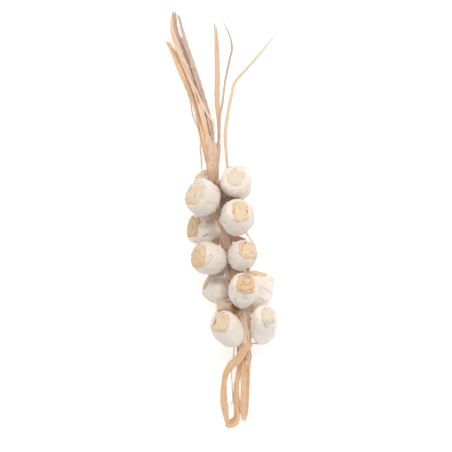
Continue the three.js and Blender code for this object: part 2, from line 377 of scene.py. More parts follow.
# %% Helpers for nodes
def put(tree, kind, inputs=None, **settings):
    """Adds a node; each input is a number, a colour, or another node's output."""
    node = tree.nodes.new(kind)
    for name, value in settings.items():
        setattr(node, name, value)
    for name, value in (inputs or {}).items():
        if isinstance(value, bpy.types.NodeSocket):
            tree.links.new(value, node.inputs[name])
        else:
            node.inputs[name].default_value = value
    return node


def maths(tree, operation, *values):
    return put(tree, "ShaderNodeMath", dict(enumerate(values)), operation=operation).outputs[0]


def blend(tree, mask, first, second):
    """The first colour where the mask is 0, the second where it is 1."""
    return put(tree, "ShaderNodeMix", {0: mask, 6: first, 7: second}, data_type="RGBA").outputs[2]


def stretch(tree, value, low, high, first=0.0, second=1.0):
    """Spreads a value between low and high over first to second, and no farther."""
    sockets = {"Value": value, "From Min": low, "From Max": high, "To Min": first, "To Max": second}
    return put(tree, "ShaderNodeMapRange", sockets, interpolation_type="SMOOTHSTEP").outputs[0]


def effect_group(name, inputs, outputs):
    """An empty node group with its sockets; returns the tree, its inputs and its output node."""
    tree = bpy.data.node_groups.new(name, "ShaderNodeTree")
    for socket, value in inputs.items():
        kind = "NodeSocketVector" if value is None else "NodeSocketFloat"
        made = tree.interface.new_socket(name=socket, in_out="INPUT", socket_type=kind)
        if value is not None:
            made.default_value = value
    for socket in outputs:
        tree.interface.new_socket(name=socket, in_out="OUTPUT", socket_type="NodeSocketFloat")
    return tree, tree.nodes.new("NodeGroupInput").outputs, tree.nodes.new("NodeGroupOutput")


def place_effect(tree, group, **inputs):
    """Places a node group and gives what it puts out."""
    return put(tree, "ShaderNodeGroup", inputs, node_tree=group).outputs[0]


def paint_over(tree, colour, layers):
    """Paints shades over a colour; each layer is a mask, its strength, and the shade."""
    for mask, strength, shade in layers:
        colour = blend(tree, maths(tree, "MULTIPLY", mask, strength), colour, (*shade, 1))
    return colour


# %% Fine lines along the grain
def make_fine_lines():
    sockets = {"Grain": None, "Across": 1500.0, "Along": 60.0, "Detail": 4.0}
    tree, ins, out = effect_group("fine_lines", sockets, ["Lines"])
    scale = put(tree, "ShaderNodeCombineXYZ", {"X": ins["Across"], "Y": ins["Across"], "Z": ins["Along"]})
    factors = {0: ins["Grain"], 1: scale.outputs[0]}
    stretched = put(tree, "ShaderNodeVectorMath", factors, operation="MULTIPLY").outputs[0]
    noise = put(tree, "ShaderNodeTexNoise", {"Vector": stretched, "Scale": 1.0, "Detail": ins["Detail"]})
    tree.links.new(stretch(tree, noise.outputs[0], 0.3, 0.7), out.inputs["Lines"])
    return tree


# %% Soft patches
def make_soft_patches():
    sockets = {"Place": None, "Fineness": 80.0, "Start": 0.45, "End": 0.65}
    tree, ins, out = effect_group("soft_patches", sockets, ["Mask"])
    noise = put(tree, "ShaderNodeTexNoise", {"Vector": ins["Place"], "Scale": ins["Fineness"], "Detail": 3.0})
    tree.links.new(stretch(tree, noise.outputs[0], ins["Start"], ins["End"]), out.inputs["Mask"])
    return tree


# %% Small specks
def make_small_specks():
    sockets = {"Place": None, "Fineness": 300.0, "Size": 0.2, "Amount": 0.1}
    tree, ins, out = effect_group("small_specks", sockets, ["Mask"])
    cells = put(tree, "ShaderNodeTexVoronoi", {"Vector": ins["Place"], "Scale": ins["Fineness"]})
    near = stretch(tree, cells.outputs["Distance"], 0.0, ins["Size"], 1.0, 0.0)
    lot = put(tree, "ShaderNodeSeparateColor", {"Color": cells.outputs["Color"]}).outputs[0]
    chosen = maths(tree, "LESS_THAN", lot, ins["Amount"])
    tree.links.new(maths(tree, "MULTIPLY", near, chosen), out.inputs["Mask"])
    return tree


# %% Worn rims
def make_worn_rim():
    sockets = {"Rim": 0.0, "Place": None, "Start": 0.7, "Raggedness": 0.4}
    tree, ins, out = effect_group("worn_rim", sockets, ["Mask"])
    noise = put(tree, "ShaderNodeTexNoise", {"Vector": ins["Place"], "Scale": 500.0, "Detail": 2.0})
    shift = maths(tree, "MULTIPLY", maths(tree, "SUBTRACT", noise.outputs[0], 0.5), ins["Raggedness"])
    ragged = maths(tree, "ADD", ins["Rim"], shift)
    tree.links.new(stretch(tree, ragged, ins["Start"], 1.0), out.inputs["Mask"])
    return tree


fine_lines, soft_patches = make_fine_lines(), make_soft_patches()
small_specks, worn_rim = make_small_specks(), make_worn_rim()
print("shared effects:", [group.name for group in bpy.data.node_groups])


# %% A blank finish
def new_finish(name, roughness, **plain):
    """A material with a Principled shader; the plain values are the same all over the surface."""
    material = bpy.data.materials.new(name)
    material.use_nodes = True
    tree = material.node_tree
    shader = tree.nodes["Principled BSDF"]
    shader.inputs["Roughness"].default_value = roughness
    for socket, value in plain.items():
        shader.inputs[socket.replace("_", " ")].default_value = value
    place = put(tree, "ShaderNodeTexCoord").outputs["Object"]
    grain = put(tree, "ShaderNodeAttribute", attribute_name="grain").outputs["Vector"]
    return material, tree, shader, place, grain


def mark_on(tree, name):
    return put(tree, "ShaderNodeAttribute", attribute_name=name).outputs["Fac"]


def raise_surface(tree, shader, *layers):
    """Stacks bumps on the shader's normal; each layer is a height, its strength and its depth in metres."""
    normal = None
    for height, strength, depth in layers:
        inputs = {"Height": height, "Strength": strength, "Distance": depth}
        if normal is not None:
            inputs["Normal"] = normal
        normal = put(tree, "ShaderNodeBump", inputs).outputs[0]
    tree.links.new(normal, shader.inputs["Normal"])


# %% [markdown]
# ## Garlic paper
#
# The skin of a bulb is several layers of dry paper, matt and faintly shiny, cream white with a breath of
# pink and grey. It yellows towards the root end and the neck. Fine veins run from root to neck. The
# colour is built in layers over that cream: patches, veins, the two yellowed ends, and marks stored on the
# mesh: soil, stains and painted shade. A little light passes into the paper, so shadows on it stay soft.

# %% Skin finish
def make_skin():
    material, tree, shader, place, grain = new_finish(
        "skin", 0.55, Specular_IOR_Level=0.35, Subsurface_Weight=0.12, Sheen_Weight=0.08
    )
    shader.inputs["Subsurface Radius"].default_value = (0.004, 0.0025, 0.0018)
    veins = place_effect(tree, fine_lines, Grain=grain, Across=900.0, Along=25.0)
    hairs = place_effect(tree, fine_lines, Grain=grain, Across=2600.0, Along=70.0)
    broad = place_effect(tree, soft_patches, Place=place, Fineness=55.0, Start=0.42, End=0.66)
    small = place_effect(tree, soft_patches, Place=place, Fineness=260.0, Start=0.5, End=0.72)
    rim = place_effect(tree, worn_rim, Rim=mark_on(tree, "rootward"), Place=place, Start=0.35, Raggedness=0.5)
    neck = place_effect(tree, worn_rim, Rim=mark_on(tree, "neckward"), Place=place, Start=0.3, Raggedness=0.5)
    freckles = place_effect(tree, small_specks, Place=place, Fineness=420.0, Size=0.22, Amount=0.035)
    cream = blend(tree, mark_on(tree, "tone"), (0.93, 0.865, 0.80, 1), (0.75, 0.675, 0.60, 1))
    colour = paint_over(tree, cream, [
        (broad, 0.4, (0.74, 0.64, 0.575)),
        (small, 0.3, (0.88, 0.83, 0.78)),
        (veins, 0.22, (0.66, 0.56, 0.5)),
        (rim, 0.35, (0.84, 0.70, 0.53)),
        (neck, 0.75, (0.60, 0.42, 0.29)),
        (freckles, 0.5, (0.42, 0.28, 0.18)),
        # soil mark: real dirt, and on two bulbs a dark scrap that is a painted shadow line under the root pad
        (mark_on(tree, "soil"), 1, (0.22, 0.15, 0.10)),
        # this mark is partly painted shade: it darkens the paper where a neighbour shades a bulb, along one
        # root pad's lower edge and low on one bulb; elsewhere it is a stain
        (mark_on(tree, "bruise"), 1, (0.36, 0.30, 0.20)),
    ])
    tree.links.new(colour, shader.inputs["Base Color"])
    tree.links.new(stretch(tree, hairs, 0.0, 1.0, 0.45, 0.68), shader.inputs["Roughness"])
    raise_surface(tree, shader, (veins, 0.5, 0.25 * MM), (hairs, 0.35, 0.08 * MM), (small, 0.25, 0.2 * MM))
    return material


skin = make_skin()

# %% [markdown]
# ## Root ends
#
# Where the roots were trimmed off, a bulb ends in a thick corky pad the colour of pale toast. It is made
# of the stubs of many roots, so it gets small cells with darker gaps, a rougher surface than the paper,
# and its own depth of colour on each bulb, from cream to orange tan.

# %% Root finish
def make_root_finish():
    material, tree, shader, place, _ = new_finish("root_end", 0.85, Specular_IOR_Level=0.2)
    cells = put(tree, "ShaderNodeTexVoronoi", {"Vector": place, "Scale": 900.0, "Randomness": 1.0})
    gaps = stretch(tree, cells.outputs["Distance"], 0.25, 0.75)
    crumbs = place_effect(tree, soft_patches, Place=place, Fineness=420.0, Start=0.4, End=0.7)
    broad = place_effect(tree, soft_patches, Place=place, Fineness=120.0, Start=0.4, End=0.68)
    rim = place_effect(tree, worn_rim, Rim=mark_on(tree, "rim"), Place=place, Start=0.55, Raggedness=0.5)
    toast = blend(tree, mark_on(tree, "tone"), (0.765, 0.69, 0.59, 1), (0.735, 0.475, 0.265, 1))
    colour = paint_over(tree, toast, [
        (broad, 0.3, (0.83, 0.67, 0.47)),
        (crumbs, 0.16, (0.62, 0.42, 0.25)),
        (gaps, 0.13, (0.50, 0.32, 0.18)),
        (rim, 0.28, (0.55, 0.34, 0.18)),
        (mark_on(tree, "soil"), 1, (0.30, 0.13, 0.05)),
    ])
    tree.links.new(colour, shader.inputs["Base Color"])
    tree.links.new(stretch(tree, crumbs, 0.0, 1.0, 0.78, 0.95), shader.inputs["Roughness"])
    raise_surface(tree, shader, (gaps, 0.4, -0.25 * MM), (crumbs, 0.4, 0.3 * MM))
    return material


root_end = make_root_finish()

# %% [markdown]
# ## Dry leaves
#
# A dry garlic leaf is straw with a lengthwise grain: many fine parallel veins, some darker than others.
# Leaves from one braid differ, so one function makes the finish and takes three colours: the leaf, its
# veins, and its aged patches, which along the plait also serve as painted shade. Rims are paler where the
# leaf is thin. The soil mark is real dirt on some pieces and painted shade on others: in the creases of
# the plait, and where strips go in under the bulbs.

# %% Leaf finishes
def make_leaf_finish(name, leaf, vein, aged_and_shade):
    material, tree, shader, place, grain = new_finish(
        name, 0.6, Specular_IOR_Level=0.35, Subsurface_Weight=0.05, Sheen_Weight=0.05
    )
    shader.inputs["Subsurface Radius"].default_value = (0.002, 0.0012, 0.0008)
    broad = place_effect(tree, fine_lines, Grain=grain, Across=500.0, Along=14.0, Detail=3.0)
    veins = place_effect(tree, fine_lines, Grain=grain, Across=1900.0, Along=22.0, Detail=5.0)
    patches = place_effect(tree, soft_patches, Place=place, Fineness=70.0, Start=0.42, End=0.68)
    specks = place_effect(tree, small_specks, Place=place, Fineness=380.0, Size=0.3, Amount=0.06)
    rim = place_effect(tree, worn_rim, Rim=mark_on(tree, "rim"), Place=place, Start=0.75, Raggedness=0.5)
    colour = paint_over(tree, (*leaf, 1), [
        (patches, 0.6, aged_and_shade),
        # on the plait's strands the tone is painted shade, darker between the bulbs; on other pieces it is
        # their own tone
        (mark_on(tree, "tone"), 0.8, aged_and_shade),
        (broad, 0.35, vein),
        (veins, 0.4, vein),
        (rim, 0.35, (0.86, 0.72, 0.54)),
        (specks, 0.45, (0.36, 0.2, 0.1)),
        # the soil mark is real dirt on marks and scraps, and painted shade in the strands' creases and at the
        # strips' ends under the bulbs
        (mark_on(tree, "soil"), 1, (0.24, 0.13, 0.07)),
    ])
    tree.links.new(colour, shader.inputs["Base Color"])
    tree.links.new(stretch(tree, veins, 0.0, 1.0, 0.5, 0.75), shader.inputs["Roughness"])
    raise_surface(tree, shader, (broad, 0.5, 0.3 * MM), (veins, 0.5, 0.15 * MM))
    return material


# the third colour is also what the plait's strands darken to between the bulbs: painted shade
LEAF_COLOURS = {  # the leaf, its veins, its aged patches
    "plait": ((0.80, 0.60, 0.47), (0.54, 0.35, 0.23), (0.54, 0.365, 0.25)),
    "rosy": ((0.82, 0.62, 0.48), (0.58, 0.38, 0.26), (0.70, 0.48, 0.37)),
    "straw": ((0.86, 0.62, 0.41), (0.66, 0.41, 0.24), (0.78, 0.50, 0.31)),
    "peach": ((0.88, 0.69, 0.53), (0.70, 0.48, 0.33), (0.80, 0.57, 0.42)),
    "pale": ((0.88, 0.75, 0.56), (0.68, 0.51, 0.32), (0.80, 0.62, 0.42)),
    "grey": ((0.66, 0.53, 0.45), (0.40, 0.28, 0.22), (0.52, 0.38, 0.33)),
    "mauve": ((0.72, 0.56, 0.48), (0.38, 0.23, 0.15), (0.60, 0.44, 0.38)),
    "tan": ((0.70, 0.49, 0.34), (0.42, 0.26, 0.16), (0.62, 0.43, 0.30)),
    "sand": ((0.82, 0.69, 0.53), (0.62, 0.48, 0.33), (0.74, 0.59, 0.43)),
    "amber": ((0.78, 0.50, 0.29), (0.55, 0.32, 0.17), (0.68, 0.41, 0.22)),
    "cream": ((0.97, 0.82, 0.67), (0.80, 0.60, 0.45), (0.90, 0.71, 0.55)),
    "brown": ((0.47, 0.30, 0.19), (0.28, 0.16, 0.10), (0.38, 0.25, 0.17)),
    "rust": ((0.60, 0.28, 0.11), (0.40, 0.17, 0.06), (0.48, 0.20, 0.08)),
}
leaf_finishes = {name: make_leaf_finish(f"leaf_{name}", *colours) for name, colours in LEAF_COLOURS.items()}
print("leaf finishes:", list(leaf_finishes))

# %% [markdown]
# ## A bulb's body
#
# The body is a tube round one line: straight from the root end to the shoulder, then bending over to the
# tip of the neck at the plait. Its outline is the CAD solid's, drawn smooth. On that come the things that
# make it garlic: furrows between the cloves, pleats where the paper gathers at the neck, and small
# swells and crinkles. Bulbs that lie on the ground stay pressed flat there.

# %% Rings from root end to neck
AROUND = 112
BODY_ROWS = 70
NECK_ROWS = 18
NECK_BEND = 0.45  # how far along its own line a neck goes before it bends to the plait
NECK_TUCK = 3.5 * MM  # the neck's end goes this far in among the leaves of the plait
NECK_TIP = 2.2 * MM
THIN_NECKS = {"bulb_5_right": 0.9 * MM}  # a neck that all but disappears behind its bulb
NECK_FALL, THIN_NECK_FALL = 1.5, 2.6  # how quickly a neck narrows below the shoulder
FIRST_BODY_RING = 2  # the rings before it are the root plate's
DOME = [(0.005, 0.5), (0.28, 0.7), (0.48, 0.6), (0.63, 0.2)]  # radius share, rise in mm, under the root pad
GROUND_CLEARANCE = 0.25 * MM
BARRELS = {  # how much fuller than the solid a bulb is just below its root end, as a share of its radius
    "bulb_1_left": 0.05, "bulb_1_right": 0.05, "bulb_2_left": 0.06, "bulb_3_left": 0.05,
    "bulb_2_right": 0.04, "bulb_4_right": 0.04, "bulb_5_right": 0.08,
}


def carried(side, tangents):
    """Carries a side direction along a line without letting it spin."""
    sides = []
    for tangent in tangents:
        side = unit(side - tangent * side.dot(tangent))
        sides.append(side)
    return np.array(sides)


def bulb_rings(name):
    """Middle, radius and two cross directions of each ring, and how far down the bulb it is."""
    bulb = bulbs[name]
    rings, radii = bulb["rings"][FIRST_BODY_RING:], bulb["radii"][FIRST_BODY_RING:]
    shoulder_depth = rings[-1]
    dome = [(share * bulb["half"], rings[0] - rise * MM) for share, rise in DOME]
    outline = smooth_line(dome + list(zip(radii, rings)), BODY_ROWS)
    depth = outline[:, 1] / shoulder_depth
    outline[:, 0] *= 1 + BARRELS.get(name, 0) * ramp(depth, 0.0, 0.08) * ramp(depth, 0.5, 0.14)
    shoulder = bulb["foot"] - bulb["axis"] * shoulder_depth
    bend = shoulder - bulb["axis"] * NECK_BEND * np.linalg.norm(bulb["tip"] - shoulder)
    t = np.linspace(0, 1, NECK_ROWS + 1)[1:, None]
    neck = (1 - t) ** 2 * shoulder + 2 * t * (1 - t) * bend + t**2 * bulb["tip"]
    tuck = bulb["tip"] + unit(bulb["tip"] - bend) * NECK_TUCK
    middles = np.vstack([bulb["foot"] - bulb["axis"] * outline[:, 1:], neck, tuck])
    neck_tip = THIN_NECKS.get(name, NECK_TIP)
    fall = THIN_NECK_FALL if name in THIN_NECKS else NECK_FALL
    neck_radii = neck_tip + (outline[-1, 0] - neck_tip) * (1 - t[:, 0]) ** fall
    radii = np.r_[outline[:, 0], neck_radii, 0.6 * neck_tip]
    tangents = np.repeat(-bulb["axis"][None], len(middles), axis=0)
    tangents[BODY_ROWS:] = tangents_of(middles)[BODY_ROWS:]
    first = carried(np.array([0.0, 0.0, 1.0]), tangents)
    down = np.r_[outline[:, 1] / shoulder_depth, 1 + t[:, 0], 2.2]
    return middles, radii, first, np.cross(tangents, first), down


# %% Cloves, pleats and crinkles
CLOVES, PLEATS = (7, 11), (11, 16)  # from, and up to but not including
FURROW_WIDTH = 0.14  # radians
BODY_SWELLS = [(0.011, 0.9), (0.004, 0.35)]  # height and wavelength, as shares of the radius
CRINKLE_HEIGHT, CRINKLE_SPACING = 0.10 * MM, 4 * MM


def bulb_surface(name, draws):
    """The bulb's surface as a grid of places, its grain, and how far down the bulb each ring is."""
    bulb = bulbs[name]
    middles, radii, first, second, down = bulb_rings(name)
    angle, turn = full_turn(AROUND)
    cloves = draws.integers(*CLOVES)
    borders = (np.arange(cloves) + draws.uniform(-0.25, 0.25, cloves)) * 2 * np.pi / cloves
    lean = 0.22 * np.sin(2.4 * down + draws.uniform(0, 6))
    furrows = np.zeros((len(down), AROUND))
    for border, depth in zip(borders, draws.uniform(0.015, 0.05, cloves)):
        furrows += depth * groove(angle - border, lean[:, None], FURROW_WIDTH)
    belly = ramp(down, 0.06, 0.3) * (1 - 0.5 * ramp(down, 0.8, 1.2))
    gathers = 0.5 + 0.5 * np.cos(draws.integers(*PLEATS) * angle + 2 * uneven(turn, 1.2, draws))
    gathering = 0.13 * ramp(down, 0.75, 1.3)
    cross = spokes(first, second, turn)
    smooth = middles[:, None] + cross * radii[:, None, None]
    swell = swells(smooth, BODY_SWELLS, bulb["half"], draws)
    way = distances(middles)
    grain = together(*(turn * bulb["half"]).T, way[:, None])
    crinkle = CRINKLE_HEIGHT * uneven(grain * (1, 1, 0.3), CRINKLE_SPACING, draws)
    crinkle = crinkle * ramp(down, 0.05, 0.2)[:, None]
    share = 1 - belly[:, None] * furrows - gathering[:, None] * gathers
    share = share + swell * ramp(down, 0.0, 0.25)[:, None]
    grid = middles[:, None] + cross * (radii[:, None] * share + crinkle)[..., None]
    grid[..., 2] = np.maximum(grid[..., 2], GROUND_CLEARANCE)
    return grid, grain + draws.uniform(0, 1, 3), down


# %% [markdown]
# ## Loose paper
#
# Outer skins tear: a ragged sheet still wraps part of the bulb, and small scales lift at their edges.
# They are thin sheets that follow the bulb's own surface a fraction of a millimetre above it, with a
# torn outline and a rim that curls away, so they cast the fine shadow lines that paper has.

# %% Sheets that follow a surface
def on_surface(grid, rows, columns):
    """Places on a grid's surface at rows and columns that need not be whole numbers."""
    rows = np.clip(rows, 0, len(grid) - 1.001)
    columns = columns % grid.shape[1]
    i, j = rows.astype(int), columns.astype(int)
    k = (j + 1) % grid.shape[1]
    a, b = (rows - i)[..., None], (columns - j)[..., None]
    upper = (1 - b) * grid[i, j] + b * grid[i, k]
    lower = (1 - b) * grid[i + 1, j] + b * grid[i + 1, k]
    return (1 - a) * upper + a * lower


def outward(grid):
    """The way out of a closed surface at each place of its grid."""
    along = np.gradient(grid, axis=0)
    across = (np.roll(grid, -1, axis=1) - np.roll(grid, 1, axis=1)) / 2
    normals = unit(np.cross(across, along) + 1e-12)
    away = grid - grid.mean(axis=1, keepdims=True)
    return normals * np.where((normals * away).sum(axis=-1, keepdims=True).mean() < 0, -1, 1)


PAPER = 0.16 * MM  # thickness of a sheet of loose skin


def disc(rows, columns):
    """A square grid from -1 to 1, and the same grid rounded to a disc."""
    v, u = np.meshgrid(np.linspace(-1, 1, rows), np.linspace(-1, 1, columns), indexing="ij")
    return u, v, u * np.sqrt(1 - v**2 / 2), v * np.sqrt(1 - u**2 / 2)


def raised(surface, grain, rows, columns, rise, **marks):
    """A sheet of skin over rows and columns of a bulb's surface, at its own rise above each place."""
    grid = on_surface(surface, rows, columns) + on_surface(outward(surface), rows, columns) * rise[..., None]
    return sheet(grid, PAPER, grain=on_surface(grain, rows, columns), **marks)


def scale_of_skin(surface, grain, row, column, tall, wide, curl, shade, draws):
    """A small loose scale: a ragged disc laid on the bulb, with a rim that lifts."""
    u, v, x, y = disc(15, 15)
    angle = np.arctan2(y, x)
    ragged = 1 + 0.22 * uneven(np.stack([np.cos(angle), np.sin(angle)], axis=-1), 1.0, draws)
    rows, columns = row + tall * y * ragged, column + wide * x * ragged
    rim = np.maximum(abs(u), abs(v))
    rise = 0.18 * MM + curl * rim**5 * np.clip(0.5 + 0.8 * uneven(np.dstack([x, y]), 1.1, draws), 0, 1.6)
    tone = shade + draws.uniform(0, 0.35)
    return raised(surface, grain, rows, columns, rise, tone=tone, rootward=0.4 * rim**6)


def torn_wrap(surface, grain, first_row, last_row, start, turn, curl, shade, draws):
    """A sheet of outer skin round part of the bulb, torn along its rims."""
    v, u = np.meshgrid(np.linspace(0, 1, 34), np.linspace(0, 1, 42), indexing="ij")
    rim_draws = [3.5 * uneven(line[:, None], 0.35, draws) for line in (u[0], u[0], v[:, 0], v[:, 0])]
    top, bottom = first_row + rim_draws[0], last_row + rim_draws[1]
    left, right = start + rim_draws[2], start + turn + rim_draws[3]
    rows = top + v * (bottom - top)
    columns = left[:, None] + u * (right - left)[:, None]
    rim = np.maximum.reduce([1 - v / 0.12, 1 - u / 0.1, 1 - (1 - u) / 0.1, np.zeros_like(u)]).clip(0, 1)
    rise = 0.14 * MM + 0.1 * MM * uneven(np.dstack([u, v]), 0.3, draws).clip(-0.5, 1)
    rise = rise + curl * rim**2 * np.clip(0.6 + 0.8 * uneven(np.dstack([u, v]), 0.35, draws), 0, 1.7)
    tone = shade + draws.uniform(0, 0.2)
    return raised(surface, grain, rows, columns, rise, tone=tone, rootward=0.3 * rim**3)


# %% Marks seen from above
FLAKE_LIFT = 0.16 * MM
FLAKE_THICKNESS = 0.12 * MM


def upper_side(surface):
    """A search tree of a closed surface, to find the place straight below a point."""
    rows, columns = surface.shape[:2]
    faces = grid_faces(rows, columns, around=True)
    return BVHTree.FromPolygons(surface.reshape(-1, 3).tolist(), faces.tolist())


def laid_on(tree, x, y, lift):
    """Places on the upper side of a surface, straight below x and y, a little off the surface."""
    places = []
    for across, along in zip(x.ravel(), y.ravel()):
        spot, facing, _, _ = tree.ray_cast(Vector((across, along, 1.0)), Vector((0, 0, -1)))
        if spot is None:
            spot, facing, _, _ = tree.find_nearest(Vector((across, along, 0.05)))
        places.append(spot + facing * (lift if facing.z > 0 else -lift))
    return np.array(places).reshape(*x.shape, 3)


def flake(tree, middle, long, wide, lean, bow, draws, **marks):
    """A thin ragged scrap on the upper side, long one way, turned by lean and bent like a bow."""
    _, _, x, y = disc(7, 19)
    x, y = x * long, y * wide
    y = y * (1 + 0.45 * uneven(x[..., None], 0.6 * long, draws)) + bow * (x / long) ** 2
    y = y + 0.35 * wide * uneven(x[..., None], 1.1 * long, draws)
    turn = math.radians(lean)
    across = middle[0] + (x * math.cos(turn) - y * math.sin(turn)) * MM
    along = middle[1] + (x * math.sin(turn) + y * math.cos(turn)) * MM
    grid = laid_on(tree, across, along, FLAKE_LIFT)
    grain = np.dstack([x * MM, y * MM, 0 * x]) + draws.uniform(0, 1, 3)
    return sheet(grid, FLAKE_THICKNESS, grain=grain, **marks)


# %% [markdown]
# Handling and soil leave marks that differ from bulb to bulb: a torn line, a few dark dashes, stains.
# Some marks are painted shade: a stain darkened by the shadow of the bulb over it, shade from the bulbs
# in front, a shadow line under a root pad, grey low on a bulb. Broad ones are painted on the mesh as soft
# ovals. Narrow ones are scraps laid on the paper, so that their outline stays crisp.

# %% Marks on the paper
SOFT_MARKS = {  # kind, then from the root end's middle: right, up, half length, half width, turn, strength
    # bulb_1_right: a painted shadow line along the lower edge of its root pad
    "bulb_1_right": [("bruise", -2, -11, 7, 1.8, 4, 0.35)],
    # bulb_2_left: the first mark is a greenish stain with painted shade from the bulb that lies over it
    "bulb_2_left": [("bruise", 20, 8, 10, 5.5, -8, 0.7), ("soil", 31, 10, 4, 5, -30, 0.4),
        ("bruise", 19, 0, 6, 2.5, 0, 0.3)],
    "bulb_2_right": [("bruise", -5.5, -22, 5, 1.3, 50, 0.4), ("bruise", -7, -3.6, 3, 2, 60, 0.3)],
    "bulb_3_left": [("bruise", 15, -8, 10, 1.2, 50, 0.35)],
    # bulb_4_back: the first mark is painted shade from the bulbs in front of it
    "bulb_4_back": [("bruise", 13.3, 2.2, 13, 5, 0, 0.5), ("bruise", 24, -8, 4, 14, 0, 0.35)],
    "bulb_4_left": [("bruise", 1, -23, 5, 1.0, -12, 0.35)],
    # bulb_4_right: painted shade, grey low on the bulb
    "bulb_4_right": [("bruise", 3, -38, 9, 4, 20, 0.12)],
    "bulb_5_right": [("bruise", -0.4, -18.4, 4, 1.2, -35, 0.5)],
}
SCRAPS = {  # from the root end's middle: right, up, half length, half width, turn, bow, soil
    # bulb_1_right: a dark scrap bent along the lower edge of the root pad, a painted shadow line
    "bulb_1_right": [(-1, -12, 7, 0.45, 3, 2.0, 0.25)],
    "bulb_1_left": [(4, 6, 1.0, 0.3, 80, 0, 0.3), (14, -21, 2.2, 0.3, 15, 0.5, 0.2)],
    "bulb_2_left": [(18, -11.2, 2.6, 0.6, 28, 0, 0.8), (21.5, -9.3, 1.7, 0.5, 15, 0, 0.7),
        (25.5, -8.7, 1.2, 0.7, 60, 0, 0.6), (19.5, -8.9, 0.8, 0.4, 40, 0, 0.4)],
    # bulb_2_right: the long first scrap is a torn paper edge and a painted shadow line under the root pad
    "bulb_2_right": [(-2.8, -15.6, 11, 0.4, -13, 0.8, 0.4), (-6.8, -23, 2.5, 0.45, 60, 0.4, 0.35),
        (-3.6, -20.6, 1.6, 0.4, 30, 0, 0.3)],
    "bulb_3_left": [(16.8, 0.6, 2.2, 1.0, 30, 0.4, 0.5), (19.5, 1.6, 0.8, 0.3, 10, 0, 0.4)],
    "bulb_3_right": [(11.5, -9, 2.4, 0.35, -65, 0, 0.4)],
    "bulb_4_left": [(1.2, -22.6, 5.5, 0.4, -14, 1.2, 0.3), (-9, -12, 1.5, 0.4, 70, 0, 0.25)],
    "bulb_5_right": [(-0.8, -17.2, 2.6, 0.6, -32, 0.5, 0.45), (2.3, -19.9, 1.4, 0.5, -50, 0, 0.35)],
}


def scraps_on(name, surface, table, draws, **marks):
    """The scraps that a table gives for a bulb, laid on the upper side of a surface."""
    tree = upper_side(surface)
    scraps = []
    for right, up, long, wide, lean, bow, soil in table.get(name, []):
        place = bulbs[name]["foot"][:2] + np.array([right, up]) * MM
        scraps.append(flake(tree, place, long, wide, lean, bow, draws, soil=soil, **marks))
    return scraps


def soft_marks(name, grid):
    """How strongly each kind of soft mark shows at each place of a bulb's upper side."""
    shown = {"soil": np.zeros(grid.shape[:2]), "bruise": np.zeros(grid.shape[:2])}
    foot = bulbs[name]["foot"]
    upper = grid[..., 2] > foot[2] - 1.4 * bulbs[name]["half"]
    for kind, right, up, long, wide, lean, strength in SOFT_MARKS.get(name, []):
        x, y = (grid[..., 0] - foot[0]) / MM - right, (grid[..., 1] - foot[1]) / MM - up
        turn = math.radians(lean)
        along, across = x * math.cos(turn) + y * math.sin(turn), y * math.cos(turn) - x * math.sin(turn)
        shown[kind] += strength * np.exp(-(((along / long) ** 2 + (across / wide) ** 2) ** 1.5)) * upper
    return shown


# %% Make the bulbs
SHADES = {  # how much darker (above 0) or whiter the paper is
    "bulb_1_left": 0.45, "bulb_2_left": -0.4, "bulb_3_left": 0.35, "bulb_3_right": 0.3,
    "bulb_4_back": 0.1, "bulb_4_right": -0.35, "bulb_5_right": -0.35,
}
NECK_TINTS = {"bulb_5_right": 0.55, "bulb_4_right": 0.4}  # how brown the neck is; 1 on the others
SMOOTH_BULBS = {"bulb_4_right", "bulb_5_left", "bulb_5_right"}  # these have no loose scales
LOOSE_SCALES = 3
WRAP_ROWS = (17, 62)  # rows of the body that a bulb's torn outer skin covers
SKIN_CURL = 0.4 * MM
surfaces = {}


def bulb_skin(name, seed):
    draws = np.random.default_rng(seed)
    surface, grain, down = bulb_surface(name, draws)
    near_root = 1 - ramp(down, 0.0, 0.22)
    near_neck = NECK_TINTS.get(name, 1) * ramp(down, 1.0, 1.75)
    shade = np.clip(0.4 + draws.uniform(0.0, 0.25) + SHADES.get(name, 0), 0, 1)
    marks = {"rootward": near_root[:, None], "neckward": near_neck[:, None], **soft_marks(name, surface)}
    parts = [tube(surface, grain=grain, tone=shade, **marks)]
    start, turn = draws.uniform(0, AROUND), draws.uniform(38, 60)
    parts.append(torn_wrap(surface, grain, *WRAP_ROWS, start, turn, SKIN_CURL, shade - 0.1, draws))
    for _ in range(0 if name in SMOOTH_BULBS else LOOSE_SCALES):
        row, column = draws.uniform(16, 30), draws.uniform(0, AROUND)
        tall, wide = draws.uniform(3, 6), draws.uniform(5, 10)
        parts.append(scale_of_skin(surface, grain, row, column, tall, wide, SKIN_CURL, shade - 0.1, draws))
    parts += scraps_on(name, surface, SCRAPS, draws, rootward=0.5)
    make_piece(f"{name}_skin", parts, skin, "skin", name)
    surfaces[name] = surface


for number, name in enumerate(bulb_names):
    bulb_skin(name, seed=100 + number)
tell("bulb skins:")

# %% [markdown]
# ## Trimmed roots
#
# The corky pad at the root end is a low cushion that lies on the bulb like a patch: it follows the
# bulb's own roundness, with an uneven outline, wherever the knife went through the roots. So it is laid
# out flat first, as a disc with its own width, height and squareness, and then wrapped on the bulb's
# surface, measured from the middle of the root end. The stubs round it are what is left of the roots.

